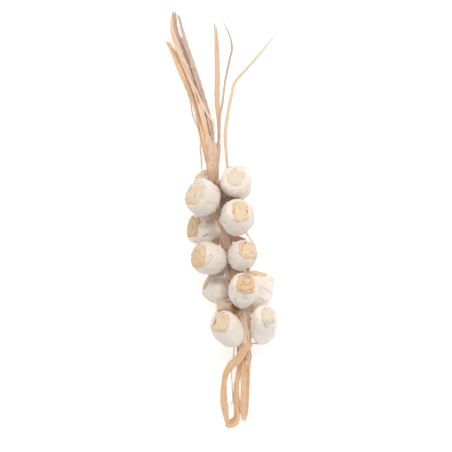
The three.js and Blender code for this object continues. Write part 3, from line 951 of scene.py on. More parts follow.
# %% Outlines of the root ends
PAD_AROUND = 96
PAD_STUBS = 46
PAD_SKIRT = 0.8 * MM  # how far a pad's rim goes down into its bulb
PAD_LUMPS = [(0.22, 5), (0.13, 1.7), (0.25, 14)]  # height and wavelength in mm
PAD_ROWS = [0.01, 0.12, 0.24, 0.36, 0.48, 0.58, 0.67, 0.75, 0.82, 0.88, 0.93, 0.97, 1.0]
PADS = {  # half width, half height, squareness, tone, shift right, shift up, thickness
    "bulb_1_right": (11.0, 12.0, 2.3, 0.0, 0, 0, 0.9),
    "bulb_1_left": (12.6, 13.6, 3.2, 0.35, 0.5, -2, 2.6),
    "bulb_1_back": (10.0, 10.0, 2.2, 0.55, 0, 0, 1.5),
    "bulb_2_left": (13.6, 14.0, 3.0, 0.80, 2, 0.5, 3.2),
    "bulb_2_right": (10.2, 16.2, 3.6, 0.50, 1.5, -3.8, 1.5),
    "bulb_3_left": (13.6, 15.5, 3.2, 0.70, 2, 0, 3.4),
    "bulb_3_right": (12.3, 13.0, 3.0, 0.50, -0.5, -2.5, 1.9),
    "bulb_4_back": (9.0, 10.5, 2.3, 0.70, 0, 1.4, 2.4),
    "bulb_4_left": (13.2, 15.0, 2.6, 0.75, 2.3, -6.4, 1.5),
    "bulb_4_right": (12.5, 12.5, 2.3, 0.60, 3.5, -1, 1.5),
    "bulb_5_left": (12.3, 14.0, 2.8, 0.50, 0.9, -4.3, 1.5),
    "bulb_5_right": (10.0, 14.0, 2.4, 0.05, 2.3, -7.0, 0.8),
}
PAD_SCRAPS = {  # from the root end's middle: right, up, half length, half width, turn, bow, soil
    "bulb_1_left": [(-4, 7, 0.8, 0.6, 0, 0, 0.35), (1, -3, 4, 0.35, 75, 0.5, 0.2)],
    "bulb_2_left": [(1.8, -2, 6, 0.35, 80, 0.8, 0.4), (4.5, -8, 3, 0.4, 60, 0.5, 0.3),
        (6, 9, 3, 0.35, -40, 0.4, 0.25)],
    "bulb_2_right": [(9.6, -3.9, 2.2, 0.55, -62, 0.2, 0.95), (-6.5, -3, 4, 0.5, 80, 1.0, 0.35),
        (-5.5, 3, 3, 0.5, 70, 0.6, 0.3)],
    "bulb_3_left": [(8, -6, 5, 0.35, 55, 0.6, 0.25), (2, 6, 3, 0.3, 30, 0.4, 0.2)],
    "bulb_3_right": [(-3.4, 6.6, 1.2, 1.0, 0, 0, 0.85), (4.6, -5.5, 1.0, 0.7, 20, 0, 0.6),
        (-7, 0, 5, 0.4, 75, 1.0, 0.35), (-2.5, -8, 2.5, 0.4, -40, 0.4, 0.3)],
    "bulb_4_left": [(-1.1, -2.6, 1.6, 0.7, -70, 0.4, 0.8), (2.6, -6, 7, 0.35, 8, 2.0, 0.45),
        (-5, -7, 2.6, 0.5, 60, 0.6, 0.4), (4.7, 6, 5, 0.4, 78, 0.8, 0.4), (0.6, 4, 4, 0.35, 70, 0.5, 0.35),
        (7, -12, 4, 0.4, 15, 0.8, 0.4), (-2, -13, 3, 0.35, -20, 0.6, 0.35),
        (9.5, -3, 3.5, 0.4, 60, 0.6, 0.3)],
    "bulb_5_left": [(-6.9, -3.8, 5, 0.9, 68, 1.0, 0.6), (-4.1, -16.2, 5, 0.6, -8, 1.0, 0.45),
        (1.4, 8, 6, 0.5, 12, 1.0, 0.6), (-2.6, 8, 5, 0.5, 20, 0.8, 0.6), (4.2, 3, 1.4, 0.4, 60, 0, 0.3)],
}


def thin_tube(line, radii, sides=5, **marks):
    """A round thread along a line, with a radius at each place."""
    tangents = tangents_of(line)
    lean = np.array([0.31, 0.52, 0.79]) if abs(tangents[0, 2]) < 0.8 else np.array([0.9, 0.3, 0.1])
    first = carried(lean, tangents)
    second = np.cross(tangents, first)
    angle, turn = full_turn(sides)
    cross = spokes(first, second, turn)
    grain = together(angle * radii.mean(), 0.0, distances(line)[:, None])
    return tube(line[:, None] + cross * radii[:, None, None], grain=grain, **marks)


# %% Wrap a patch on a bulb
def cross_directions(axis):
    """Right and up on the root end, as near as they can be to the floor's."""
    right = unit(np.cross([0.0, 1.0, 0.0] if abs(axis[1]) < 0.9 else [0.0, 0.0, 1.0], axis))
    return right, np.cross(axis, right)


def wrapped(name, right, up, lift):
    """Places that lie right and up of the root end's middle, measured along the bulb's surface."""
    bulb, surface = bulbs[name], surfaces[name]
    axis = bulb["axis"]
    first = unit(np.array([0, 0, 1]) - axis * axis[2])
    second = np.cross(-axis, first)
    to_right, to_up = cross_directions(axis)
    heading = right[..., None] * to_right + up[..., None] * to_up
    column = np.arctan2(heading @ second, heading @ first) / (2 * np.pi) * AROUND
    middles = surface.mean(axis=1)
    radii = np.linalg.norm(surface - middles[:, None], axis=-1).mean(axis=1)
    way = distances(np.column_stack([radii, (bulb["foot"] - middles) @ axis])) + radii[0]
    distance = np.hypot(right, up)
    row = np.interp(distance, way, np.arange(len(way)))
    facing = on_surface(outward(surface), row, column)
    near = ramp(distance, 4 * MM, 1 * MM)[..., None]
    return on_surface(surface, row, column) + unit(facing * (1 - near) + axis * near) * lift[..., None]


def root_pad(name, seed):
    draws = np.random.default_rng(seed)
    wide, tall, square, pad_tone, shift_right, shift_up, thick = PADS[name]
    _, turn = full_turn(PAD_AROUND)
    reach = (abs(turn[:, 0]) ** square + abs(turn[:, 1]) ** square) ** (-1 / square)
    reach = reach * (1 + 0.06 * uneven(turn, 1.3, draws) + 0.04 * uneven(turn, 0.45, draws))
    share = np.array(PAD_ROWS)[:, None]
    right = (shift_right + wide * share * reach * turn[:, 0]) * MM
    up = (shift_up + tall * share * reach * turn[:, 1]) * MM
    flat = np.dstack([right, up])
    cushion = thick * MM * (1 - share**7) - 0.3 * MM * share**8
    lumps = swells(flat, PAD_LUMPS, MM, draws)
    top = wrapped(name, right, up, cushion + lumps * MM * (1 - share**10))
    under = wrapped(name, right[[-2, 0]], up[[-2, 0]], np.full((2, PAD_AROUND), -PAD_SKIRT))
    grid = np.vstack([top, under])
    rim = np.broadcast_to(np.r_[ramp(share, 0.8, 1.0), [[1.0], [1.0]]], grid.shape[:2])
    tone = np.clip(pad_tone + 0.14 * uneven(grid, 9 * MM, draws), 0, 1)
    grain = grid - bulbs[name]["foot"]
    parts = [tube(grid, grain=grain, tone=tone, rim=rim)]
    for _ in range(PAD_STUBS):
        heading = draws.integers(0, PAD_AROUND)
        spot = 1 - 0.6 * draws.random() ** 2.5
        x = shift_right + wide * spot * reach[heading] * turn[heading, 0]
        y = shift_up + tall * spot * reach[heading] * turn[heading, 1]
        outer = np.linspace(0, draws.uniform(0.2, 0.9), 4)
        lifts = np.linspace(0.1, draws.uniform(0.9, 1.7), 4) + thick * 0.6 * (1 - spot**6)
        stub_right, stub_up = x + outer * turn[heading, 0], y + outer * turn[heading, 1]
        line = wrapped(name, stub_right * MM, stub_up * MM, lifts * MM)
        radii = draws.uniform(0.18, 0.34) * MM * np.array([1.2, 1.0, 0.9, 0.6])
        parts.append(thin_tube(line, radii, tone=np.clip(pad_tone + draws.normal() * 0.2, 0, 1), rim=0.2))
    parts += scraps_on(name, top, PAD_SCRAPS, draws, tone=0.9)
    make_piece(f"{name}_roots", parts, root_end, "roots")


for number, name in enumerate(bulb_names):
    root_pad(name, seed=200 + number)
tell("with root ends:")

# %% [markdown]
# ## The plait
#
# Three strands cross over and under each other. A strand is a bundle of limp leaves that dried in place,
# so it is a rod with deep lengthwise creases that wander a little, and on it lie flat ribbons of leaf.
# The line that each strand follows is read from its CAD solid.

# %% Strands
def swept_line(node):
    """Middles, wide directions and half widths of a swept solid's rings."""
    middles, wides, halves = [], [], []
    for ring in rings_of(node):
        spread = ring - ring.mean(axis=0)
        _, directions = np.linalg.eigh(spread.T @ spread)
        candidates = directions.T[1:]
        wide = candidates[1]
        if wides:
            wide = max(candidates, key=lambda c: abs(c @ wides[-1]))
            wide = wide * np.sign(wide @ wides[-1])
        middles.append(ring.mean(axis=0))
        wides.append(wide)
        halves.append(abs(spread @ wide).max())
    return np.array(middles), np.array(wides), np.array(halves)


strand_names = sorted(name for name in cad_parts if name.startswith("strand_"))
strands = {}
for name in strand_names:
    middles, wides, halves = swept_line(name)
    if middles[0, 1] < middles[-1, 1]:
        middles, wides, halves = middles[::-1], wides[::-1], halves[::-1]
    strands[name] = (middles, wides, halves)
    print(name, "runs from", middles[0].round(3), "to", middles[-1].round(3))


def resampled(middles, wides, halves, count):
    """The line drawn smooth at more places, its directions and half widths along with it."""
    line = smooth_line(np.hstack([middles, wides * 10 * MM, halves[:, None]]), count)
    tangents = tangents_of(line[:, :3])
    wide = line[:, 3:6]
    wide = unit(wide - tangents * (wide * tangents).sum(axis=1, keepdims=True))
    return line[:, :3], wide, np.cross(wide, tangents), line[:, 6]


LEAF_THICKNESS = 0.35 * MM
CREASE = 50  # degrees; a leaf is shaded sharp where it is bent more than this
TWIST_LENGTH, FOLD_LENGTH, RIM_LENGTH = 90 * MM, 60 * MM, 14 * MM  # how far apart its swells are
VEIN_HEIGHT, VEIN_SPACING = 0.09 * MM, 1.6 * MM
TORN_LENGTH = 6 * MM  # how much of each end is ragged


def ribbon(middle, wide, over, half, draws, fold=0.25, curl=0.1, columns=9, twist=0.2,
           rag=(0.0, 3 * MM), tone=0.3, soil=0.0):
    """A strip of leaf along a line: folded down its middle, curled at its rims, with ragged ends."""
    way = distances(middle)
    tangents = tangents_of(middle)
    spin = twist * uneven(way[:, None], TWIST_LENGTH, draws)[:, None]
    wide, over = wide * np.cos(spin) + over * np.sin(spin), over * np.cos(spin) - wide * np.sin(spin)
    u = np.linspace(-1, 1, columns)
    rims = 1 + 0.10 * np.stack([uneven(way[:, None], RIM_LENGTH, draws) for _ in range(2)], axis=1)
    reach = half[:, None] * u * np.where(u < 0, rims[:, :1], rims[:, 1:])
    bend = fold * (1 + 0.5 * uneven(way[:, None], FOLD_LENGTH, draws))[:, None]
    height = half[:, None] * (bend * (0.5 - abs(u)) + curl * u**4)
    lengthwise = together(way[:, None] * 0.15, reach)
    height = height + VEIN_HEIGHT * uneven(lengthwise, VEIN_SPACING, draws)
    grid = middle[:, None] + wide[:, None] * reach[..., None] + over[:, None] * height[..., None]
    for end, length in zip((0, -1), rag):
        near = ramp(abs(way - way[end]), TORN_LENGTH, 0.0)[:, None]
        slip = near * length * (0.6 * uneven(u[:, None], 0.8, draws) + 0.6 * u * draws.normal())
        grid = grid + tangents[:, None] * slip[..., None]
    grain = together(reach, height, way[:, None]) + draws.uniform(0, 1, 3)
    return sheet(grid, LEAF_THICKNESS, grain=grain, tone=tone, rim=abs(u)[None, :] ** 2, soil=soil)


def make_leafy(name, ribbons, finish, slot, *nodes):
    """A piece made of ribbons, shaded sharp along their folds."""
    make_piece(name, ribbons, leaf_finishes[finish], slot, *nodes, sharp=CREASE)


# %% Weave the strands
STRAND_AROUND = 44
STRAND_PLACES = 250
STRAND_FLATNESS = 0.66  # how thick a strand is, as a share of its width
CREASE_WIDTH = 0.16  # radians
RIBBONS_A_STRAND = 4


def strand_piece(name, seed):
    draws = np.random.default_rng(seed)
    middle, wide, over, half = resampled(*strands[name], STRAND_PLACES)
    way = np.linspace(0, 1, len(middle))
    angle, turn = full_turn(STRAND_AROUND)
    creases = np.zeros((len(middle), STRAND_AROUND))
    for place, depth in zip(draws.uniform(0, 2 * np.pi, 9), draws.uniform(0.1, 0.3, 9)):
        wander = place + 0.9 * uneven(way[:, None], 0.35, draws)
        creases += depth * groove(angle, wander[:, None], CREASE_WIDTH)
    taper = ramp(way, -0.01, 0.03) * ramp(way, 1.01, 0.97)
    size = taper[:, None] * (1.02 - creases)
    across = half[:, None] * size * turn[:, 0]
    rise = STRAND_FLATNESS * half[:, None] * size * turn[:, 1]
    grid = middle[:, None] + wide[:, None] * across[..., None] + over[:, None] * rise[..., None]
    down = way[:, None] * distances(middle)[-1]
    grain = together(angle * half.mean(), 0.0, down) + draws.uniform(0, 1, 3)
    # painted shade: the strand is darker where it runs between the bulbs, in their shade
    aged_and_shade = 0.12 + 0.56 * ramp(way, 0.2, 0.34) * ramp(way, 0.82, 0.66)  # darker between the bulbs
    # painted shade: the soil mark darkens the strand's creases
    parts = [tube(grid, grain=grain, tone=aged_and_shade[:, None], soil=0.22 * ramp(creases, 0.1, 0.35))]
    for number in range(RIBBONS_A_STRAND):
        lean = 2 * np.pi * (number / RIBBONS_A_STRAND + 0.08 * draws.normal())
        lean = lean + 0.6 * uneven(way[:, None], 0.5, draws)
        lift = half * 0.95 * taper
        rise = STRAND_FLATNESS * lift * np.sin(lean)
        place = middle + wide * (lift * np.cos(lean))[:, None] + over * rise[:, None]
        out = unit(wide * (STRAND_FLATNESS * np.cos(lean))[:, None] + over * np.sin(lean)[:, None])
        side = np.cross(tangents_of(place), out)
        width = np.full(len(way), draws.uniform(1.4, 2.3) * MM) * taper.clip(0.3)
        # the ribbons on the strand take the same painted shade
        parts.append(ribbon(place, side, out, width, draws, fold=0.15, curl=-0.25, twist=0.05, columns=7,
                            rag=(2 * MM, 2 * MM), tone=(aged_and_shade * draws.uniform(0.7, 1.0))[:, None]))
    make_leafy(f"{name}_leaves", parts, "plait", "plait", name)


for number, name in enumerate(strand_names):
    strand_piece(name, seed=300 + number)
tell("with the plait:")

# %% [markdown]
# ## Long leaf ends
#
# The leaves run out of the plait at both ends. Each one is a flat strip, split lengthwise into two or
# three ribbons that lie nearly on each other, so it reads as one leaf with cracks in it. Every ribbon
# starts well inside the plait, along the strand it belongs to, and ends in a torn tip.

# %% Leaf ends
LEAF_LOOKS = {  # finish, and how much wider than the solid at the plait, in the middle and at the tip
    "crown_leaf_1": ("straw", (1.4, 1.5, 1.25)), "crown_leaf_2": ("peach", (1.2, 1.5, 1.4)),
    "crown_leaf_3": ("mauve", (1.2, 1.5, 1.5)), "crown_leaf_4": ("mauve", (0.9, 1.1, 1.2)),
    "crown_leaf_5": ("rosy", (0.9, 1.0, 1.0)), "crown_leaf_6": ("mauve", (1.0, 1.0, 1.0)),
    "crown_leaf_7": ("sand", (1.2, 1.0, 0.7)), "tail_leaf_1": ("straw", (2.0, 0.9, 1.2)),
    "tail_leaf_2": ("grey", (2.0, 2.0, 1.6)), "tail_leaf_3": ("straw", (1.5, 1.2, 1.3)),
    "tail_leaf_4": ("straw", (1.5, 1.3, 1.4)), "tail_leaf_5": ("straw", (1.2, 1.15, 1.2)),
}
LEAD_INS = {  # places before the solid's end, from that end, where a leaf crosses the plait
    "tail_leaf_1": [(8.5, 13, 0.5), (4.8, 6.5, 1.5)],
    "crown_leaf_5": [(-3.2, -34, 7), (-2.6, -24, 5), (-0.6, -13, 2.5)],
}
LEAF_PLACES = 130
TIP_REACH = {"crown_leaf_1": 5, "crown_leaf_2": 7, "crown_leaf_3": 3.5,
             "crown_leaf_4": 5}  # mm past the solid
TUCK_STEPS = np.array([34, 24, 14, 6]) * MM  # how far into the plait a leaf is led along its strand
FREE_TUCK = 5 * MM  # and how far a leaf that no strand end is near
NEAR_STRAND = 12 * MM
SPLITS = [  # up to a half width, the ribbons that a leaf is split in, from -1 to 1 across it
    (2 * MM, [(-1, 1)]),
    (3.6 * MM, [(-1, 0.1), (0.0, 1)]),
    (math.inf, [(-1, -0.2), (-0.35, 0.45), (0.35, 1)]),
]


def tucked(name, middles, wides, halves):
    """Lengthens a leaf's line into the plait, along the strand end that it comes from."""
    ends = [(line[end], line[::1 if end == 0 else -1]) for line, _, _ in strands.values() for end in (0, -1)]
    end, line = min(ends, key=lambda pair: np.linalg.norm(pair[0] - middles[0]))
    narrowing = 1.0
    if name in LEAD_INS:
        lead = middles[0] + np.array(LEAD_INS[name]) * MM
    elif np.linalg.norm(end - middles[0]) > NEAR_STRAND:
        lead = middles[:1] + unit(middles[0] - middles[2]) * FREE_TUCK
    else:
        offset = (middles[0] - end) * (1 - 0.5 * TUCK_STEPS / TUCK_STEPS[0])[:, None]
        lead = at_distances(TUCK_STEPS, distances(line), line) + offset
        narrowing = np.linspace(0.75, 1.0, len(lead))
    lead_halves = halves[0] * narrowing * np.ones(len(lead))
    all_wides = np.vstack([wides[:1]] * len(lead) + [wides])
    return np.vstack([lead, middles]), all_wides, np.r_[lead_halves, halves]


def leaf_piece(name, seed):
    draws = np.random.default_rng(seed)
    middles, wides, halves = swept_line(name)
    plait_ends = np.array([line[end] for line, _, _ in strands.values() for end in (0, -1)])
    to_plait = [np.linalg.norm(plait_ends - middles[end], axis=1).min() for end in (0, -1)]
    if to_plait[1] < to_plait[0]:
        middles, wides, halves = middles[::-1], wides[::-1], halves[::-1]
    if name in TIP_REACH:
        tip = middles[-1] + unit(middles[-1] - middles[-2]) * (TIP_REACH[name] * MM)
        middles, wides = np.vstack([middles, tip]), np.vstack([wides, wides[-1:]])
        halves = np.r_[halves, halves[-1]]
    finish, widths = LEAF_LOOKS[name]
    middle, wide, over, half = resampled(*tucked(name, middles, wides, halves), LEAF_PLACES)
    share = np.linspace(0, 1, len(half))[:, None]
    half = half * np.interp(share[:, 0], [0, 0.5, 1], widths)
    if over[:, 2].mean() < 0:
        over = -over
    parts = []
    splits = next(ribbons for widest, ribbons in SPLITS if half.max() < widest)
    for number, (low, high) in enumerate(splits):
        part_half = half * (high - low) / 2 * 1.08
        drift = (low + high) / 2 * half * (1 + 0.25 * uneven(share, 0.6, draws))
        lift = 0.25 * MM * number + 0.35 * MM * uneven(share, 0.4, draws)
        line = middle + wide * drift[:, None] + over * lift[:, None]
        keep = slice(0, len(line) - draws.integers(0, 7))
        look = {"tone": draws.uniform(0, 0.8), "fold": draws.uniform(0.2, 0.5)}
        look["curl"] = draws.uniform(-0.2, 0.2)
        parts.append(ribbon(line[keep], wide[keep], over[keep], part_half[keep], draws, twist=0.16,
                            rag=(1 * MM, 5 * MM), **look))
    make_leafy(f"{name}_strips", parts, finish, "leaf", name)


leaf_names = sorted(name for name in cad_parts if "leaf" in name)
for number, name in enumerate(leaf_names):
    leaf_piece(name, seed=400 + number)
tell("with the leaves:")

# %% [markdown]
# ## Strips over the plait
#
# Some outer leaves aren't woven in: they run straight over the ends and the middle of the plait and hide
# the weave there. They follow the plait's middle line, which is the mean of the three strands, at their
# own distance to the side and just above the strands.

# %% Straight strips
plait_line = smooth_line(np.mean([middles for middles, _, _ in strands.values()], axis=0), 300)
plait_way = distances(plait_line)
plait_along = tangents_of(plait_line)
plait_right = unit(np.cross([0.0, 0.0, 1.0], plait_along))
STRIP_LIFT = 6.3 * MM
STRIP_PLACES = 90
# from, to (mm down the plait; below 0 is beyond its crown end), side at both ends, half width, tone,
# and how much painted shade darkens the lower end
STRIPS = {
    "crown": {
        "tan": [(4, 60, -7.0, -6.5, 1.5, 0.4, 0.3), (14, 58, 5.6, 5.6, 1.5, 0.6, 0.3),
                (28, 62, -1.2, -1.0, 0.9, 0.9, 0.4)],
        "rosy": [(-4, 62, -4.4, -4.3, 2.1, 0.5, 0.3), (2, 64, -0.8, -1.0, 2.1, 0.4, 0.3),
                 (6, 60, 3.4, 3.4, 1.9, 0.7, 0.3)],
        "mauve": [(-2, 62, 1.2, 1.2, 1.5, 0.1, 0.3)],
    },
    "middle": {
        "mauve": [(150, 190, -5.0, -4.0, 4.2, 0.3, 0.05), (156, 196, 2.6, 3.4, 4.6, 0.5, 0.05)],
        "rosy": [(104, 152, -4.6, -2.0, 2.6, 0.7, 0.05), (112, 158, 0.4, 2.6, 2.2, 0.4, 0.05)],
    },
    "tail": {
        "cream": [(222, 288, 1.5, -2.0, 2.6, 0.4, 0.0), (214, 290, 4.6, 1.6, 2.4, 0.1, 0.0),
                  (218, 286, -2.4, -3.4, 1.6, 0.6, 0.0)],
        "straw": [(228, 292, -1.6, -4.6, 2.1, 0.6, 0.0), (236, 312, 6.2, 6.6, 1.7, 0.6, 0.05)],
        "rosy": [(230, 300, 3.0, 4.6, 1.8, 0.6, 0.0), (204, 246, 9.4, 7.0, 2.5, 0.4, 0.02)],
    },
}


def straight_strip(start, stop, side_start, side_stop, half, tone, soil, draws):
    """One outer leaf over the plait, darker towards its lower end under the bulbs: painted shade."""
    way = np.linspace(start, stop, STRIP_PLACES) * MM
    beyond = np.minimum(way, 0) + np.maximum(way - plait_way[-1], 0)
    lines = (plait_line, plait_along, plait_right)
    place, along, right = (at_distances(way, plait_way, line) for line in lines)
    over = np.cross(along, right)
    share = np.linspace(0, 1, STRIP_PLACES)
    side = (side_start + (side_stop - side_start) * share) * MM
    side = side + 0.5 * MM * uneven(share[:, None], 0.5, draws)
    lift = STRIP_LIFT * (0.55 + 0.45 * eased(share, 0.12)) + 0.4 * MM * uneven(share[:, None], 0.3, draws)
    line = place + along * beyond[:, None] + right * side[:, None] + over * lift[:, None]
    width = half * MM * (0.75 + 0.25 * eased(share, 0.1))
    # painted shade: the strip darkens towards its lower end, where it goes in under the bulbs
    end_shade = 1.9 * soil * ramp(share, 0.55, 1.0)[:, None]
    return ribbon(line, right, over, width, draws, fold=draws.uniform(0.1, 0.4), curl=-0.2, twist=0.08,
                  columns=7, rag=(2 * MM, 3 * MM), tone=tone, soil=end_shade)


for end, kinds in STRIPS.items():
    draws = np.random.default_rng(500)
    for kind, rows in kinds.items():
        make_leafy(f"{end}_strips_{kind}", [straight_strip(*row, draws) for row in rows], kind, "plait")
tell("with the straight strips:")

# %% [markdown]
# ## Small leaf scraps
#
# A torn flap with slits clings to the left of the crown, and dry threads hang beside it. Dark ribs and
# two pale strips lie on the crown's left bundle. The widest tail leaf is folded back on itself like a
# hairpin, so that its brown inner face shows in the loop. Each of these is a short line of places, with
# a ribbon or a round thread along it.

# %% Scraps of leaf
crown_end = plait_line[0]
# a ribbon is its places and its half widths, a thread its places and its radius, all in mm; the places
# are measured from the crown end of the plait, and the hairpin's from the tip of its leaf
FLAP = [  # two ribbons that part twice, which leaves the slits
    ([(-16.6, 20, 1), (-14.8, 9, 2), (-13.3, 0, 3), (-11, -8, 4), (-8.6, -14, 5), (-6.2, -24, 6)],
     [1.2, 1.6, 1.5, 1.9, 1.6, 0.9]),
    ([(-15.2, 19, 1.5), (-11.6, 8, 2.5), (-11.9, 3.5, 3), (-9.6, -2, 4), (-9.4, -7, 4.6), (-6.5, -14, 5.4),
      (-5.2, -26, 6.4)], [0.8, 1.2, 1.5, 1.2, 1.5, 1.6, 1.0]),
]
THREADS = [
    ([(-36, 70, -2), (-29.5, 51, -2), (-27.4, 38, -3), (-26, 30, -2), (-21.5, 19.8, 0), (-16, 8, 1)], 0.72),
    ([(-13.6, 2, 2), (-15.9, -8.3, 0), (-16.3, -13.9, -2), (-15.1, -24.3, -4), (-14.2, -40.4, -4)], 0.66),
    ([(2.5, 60, 3), (-0.5, 46, 4), (0.5, 30, 4), (3, 16, 3)], 0.14),
    ([(-1, 76, 0), (1.5, 62, 2), (-1.2, 50, 3), (1.4, 34, 3)], 0.12),
]
RIBS = [  # dark leaf ribs on the left bundle
    ([(-41.5, 134.3, -2.6), (-38.5, 127, -1.6), (-35.4, 120, -0.8)], 0.5),
    ([(-28.7, 83.1, 3.2), (-23.4, 71.9, 4.6), (-18.9, 63.6, 5.6)], 0.62),
    ([(-22.6, 60.6, 6.0), (-20, 53.4, 6.8), (-17.4, 46.3, 7.2)], 0.5),
    ([(-33, 112, 0.6), (-30.6, 104, 1.6), (-28.8, 97, 2.4)], 0.36),
    ([(-16, 58, 6.0), (-13.6, 50, 6.2), (-11.8, 43, 6.4)], 0.4),
]
THREAD_PLACES = 40
SPINDLE = np.sin(np.linspace(0.08, 3.06, THREAD_PLACES)) ** 0.5  # a thread that thins out at both ends
PALE_STRIPS = [  # these cross over the other leaves
    ([(-53.5, 132, -7.2), (-44, 113.5, -3.4), (-35.4, 96.7, 0.2), (-31, 86, 1.6)], [0.8, 1.5, 1.3, 0.5]),
    ([(-22.4, 66, 5.6), (-11.8, 42, 6.6), (-5.6, 30.5, 7.2), (0.7, 20.7, 7.4), (2.2, 6, 7.0)],
     [0.6, 1.6, 1.4, 1.5, 0.9]),
]
HAIRPIN = (
    [(-1, 2, 0), (2.4, -0.6, 0.4), (7, -0.6, 1), (11.5, 2.4, 1.8), (14, 8, 2.6), (14.2, 15, 3.2),
     (11.5, 22.5, 4),
     (7.4, 28, 5)],
    [3.4, 3.2, 2.9, 2.5, 2.0, 1.8, 1.5, 0.8],
)
HAIRPIN_INSIDE = (
    [(1.2, 5.4, 0.6), (4.8, 5.0, 1.0), (8.4, 6.8, 1.4), (10.8, 11, 1.9), (10.6, 16.5, 2.4), (8.6, 21, 3)],
    [2.4, 3.3, 3.4, 3.2, 2.4, 0.9],
)


def flat_ribbon(start, places, widths, draws, count=60, **look):
    """A ribbon through places given from a start, lying level across."""
    line = smooth_line(start + np.array(places) * MM, count)
    half = np.interp(np.linspace(0, 1, count), np.linspace(0, 1, len(widths)), widths) * MM
    along = tangents_of(line)
    wide = unit(np.cross(along, [0.0, 0.0, 1.0]))
    return ribbon(line, wide, np.cross(wide, along), half, draws, **look)


def crown_ribbons(rows, draws, **look):
    return [flat_ribbon(crown_end, *row, draws, **look) for row in rows]


def crown_threads(rows, shape):
    """Round threads at the crown; the shape is how the radius changes along each."""
    threads = []
    for places, radius in rows:
        line = smooth_line(crown_end + np.array(places) * MM, THREAD_PLACES)
        threads.append(thin_tube(line, radius * MM * shape, sides=7, tone=0.5))
    return threads


# %% Lay the scraps
draws = np.random.default_rng(600)
make_leafy("crown_flap", crown_ribbons(FLAP, draws, fold=0.2, twist=0.1, tone=0.8), "straw", "leaf")
make_piece("crown_threads", crown_threads(THREADS, np.ones(THREAD_PLACES)), leaf_finishes["grey"], "leaf")
make_piece("crown_ribs", crown_threads(RIBS, SPINDLE), leaf_finishes["brown"], "leaf")
pale = crown_ribbons(PALE_STRIPS, draws, fold=0.1, twist=0.1, tone=0.2)
make_leafy("crown_pale_strips", pale, "peach", "leaf")
middles, _, _ = swept_line("tail_leaf_1")
tip = min(middles[0], middles[-1], key=lambda place: place[1])
hairpin = flat_ribbon(tip, *HAIRPIN, draws, fold=0.3, twist=0.05, rag=(0, 3 * MM), tone=0.3)
make_leafy("tail_hairpin", [hairpin], "straw", "leaf")
inside = flat_ribbon(tip, *HAIRPIN_INSIDE, draws, fold=-0.4, twist=0.05, tone=0.6, soil=0.05)
make_leafy("tail_hairpin_inside", [inside], "amber", "leaf")
tell("with the scraps:")

# %% [markdown]
# ## Root hairs
#
# In the gaps between the bulbs sit tangles of brown root hairs, two bulbs keep a tuft at the root end,
# and a little pale fluff hangs in the crown. Each is a cloud of short bent threads round one place, and
# every thread has its own heading.

# %% Tangles
ANCHORS = {name: bulb["middle"] for name, bulb in bulbs.items()} | {"crown": crown_end}
TANGLES = {  # two things to stand between, offset from there, spread, hairs, length, radius, finish
    "crown_fluff": ("crown", "crown", (-25, 92, 3.4), (1.6, 2.6, 0.5), 34, (2, 5), (0.12, 0.26), "pale"),
    "upper_tangle": ("bulb_1_right", "bulb_2_right", (-7, 2.5, 1), (10, 3.2, 5), 170, (4, 10), (0.14, 0.34),
        "brown"),
    "upper_tangle_left": ("bulb_1_right", "bulb_1_left", (3.6, -10, -10), (2.6, 6, 4), 60, (5, 11),
        (0.14, 0.3), "brown"),
    # middle_tangle: grey fibres that also stand for the shade between these bulbs, partly painted shade
    "middle_tangle": ("bulb_1_left", "bulb_2_right", (-3.3, -4.5, -12), (2.6, 4, 4), 40, (4, 9),
        (0.12, 0.26), "grey"),
    "lower_tangle": ("bulb_4_left", "bulb_5_left", (-1, 4, -14), (4.4, 5, 4), 110, (4, 9), (0.2, 0.5),
        "rust"),
    "tuft_4_left": ("bulb_4_left", "bulb_4_left", (6.2, 29.5, 13), (1.5, 2.0, 1.5), 40, (3, 5), (0.3, 0.6),
        "rust"),
    "tuft_4_left_stem": ("bulb_4_left", "bulb_4_left", (5.0, 22.8, 16), (2.8, 3.2, 1.3), 80, (4, 8),
        (0.3, 0.6), "pale"),
    "tuft_5_left": ("bulb_5_left", "bulb_5_left", (-7, 24.5, 9), (7, 2.6, 2.6), 130, (5, 11), (0.16, 0.4),
        "tan"),
    "tuft_5_left_dark": ("bulb_5_left", "bulb_5_left", (2, 23, 4), (8, 2.2, 2.4), 90, (4, 10), (0.14, 0.34),
        "brown"),
}


def tangle(name, seed):
    draws = np.random.default_rng(seed)
    one, other, offset, spread, hairs, lengths, radii, finish = TANGLES[name]
    middle = (ANCHORS[one] + ANCHORS[other]) / 2 + np.array(offset) * MM
    parts = []
    for _ in range(hairs):
        start = middle + draws.normal(size=3) * np.array(spread) * 0.55 * MM
        heading = unit(draws.normal(size=3) * (1, 1, 0.45))
        length = draws.uniform(*lengths) * MM
        steps = np.linspace(-0.5, 0.5, 7)[:, None]
        sag = np.cross(heading, unit(draws.normal(size=3))) * length * draws.uniform(0.1, 0.4)
        line = start + steps * heading * length + (steps**2) * 4 * sag
        line = line + 0.05 * length * draws.normal(size=(7, 3))
        radius = draws.uniform(*radii) * MM * np.array([0.7, 1, 1, 0.95, 0.85, 0.7, 0.4])
        along = np.interp(np.linspace(0, 6, 12), range(7), radius)
        parts.append(thin_tube(smooth_line(line, 12), along, tone=draws.uniform(0, 1)))
    make_piece(name, parts, leaf_finishes[finish], "roots")


for number, name in enumerate(TANGLES):
    tangle(name, seed=700 + number)
tell("with the root hairs:")

# %% [markdown]
# ## Leaves between the bulbs
#
# A braid is bound by leaves that pass sideways from the plait, between one bulb and the next. Little of
# them shows, but they close the gaps: without them one would see the ground between the bulbs. Two of
# them are coloured dark for the shade deep in their gaps, which is painted shade. Each is a short broad
# strip, placed from the point halfway between its two bulbs.

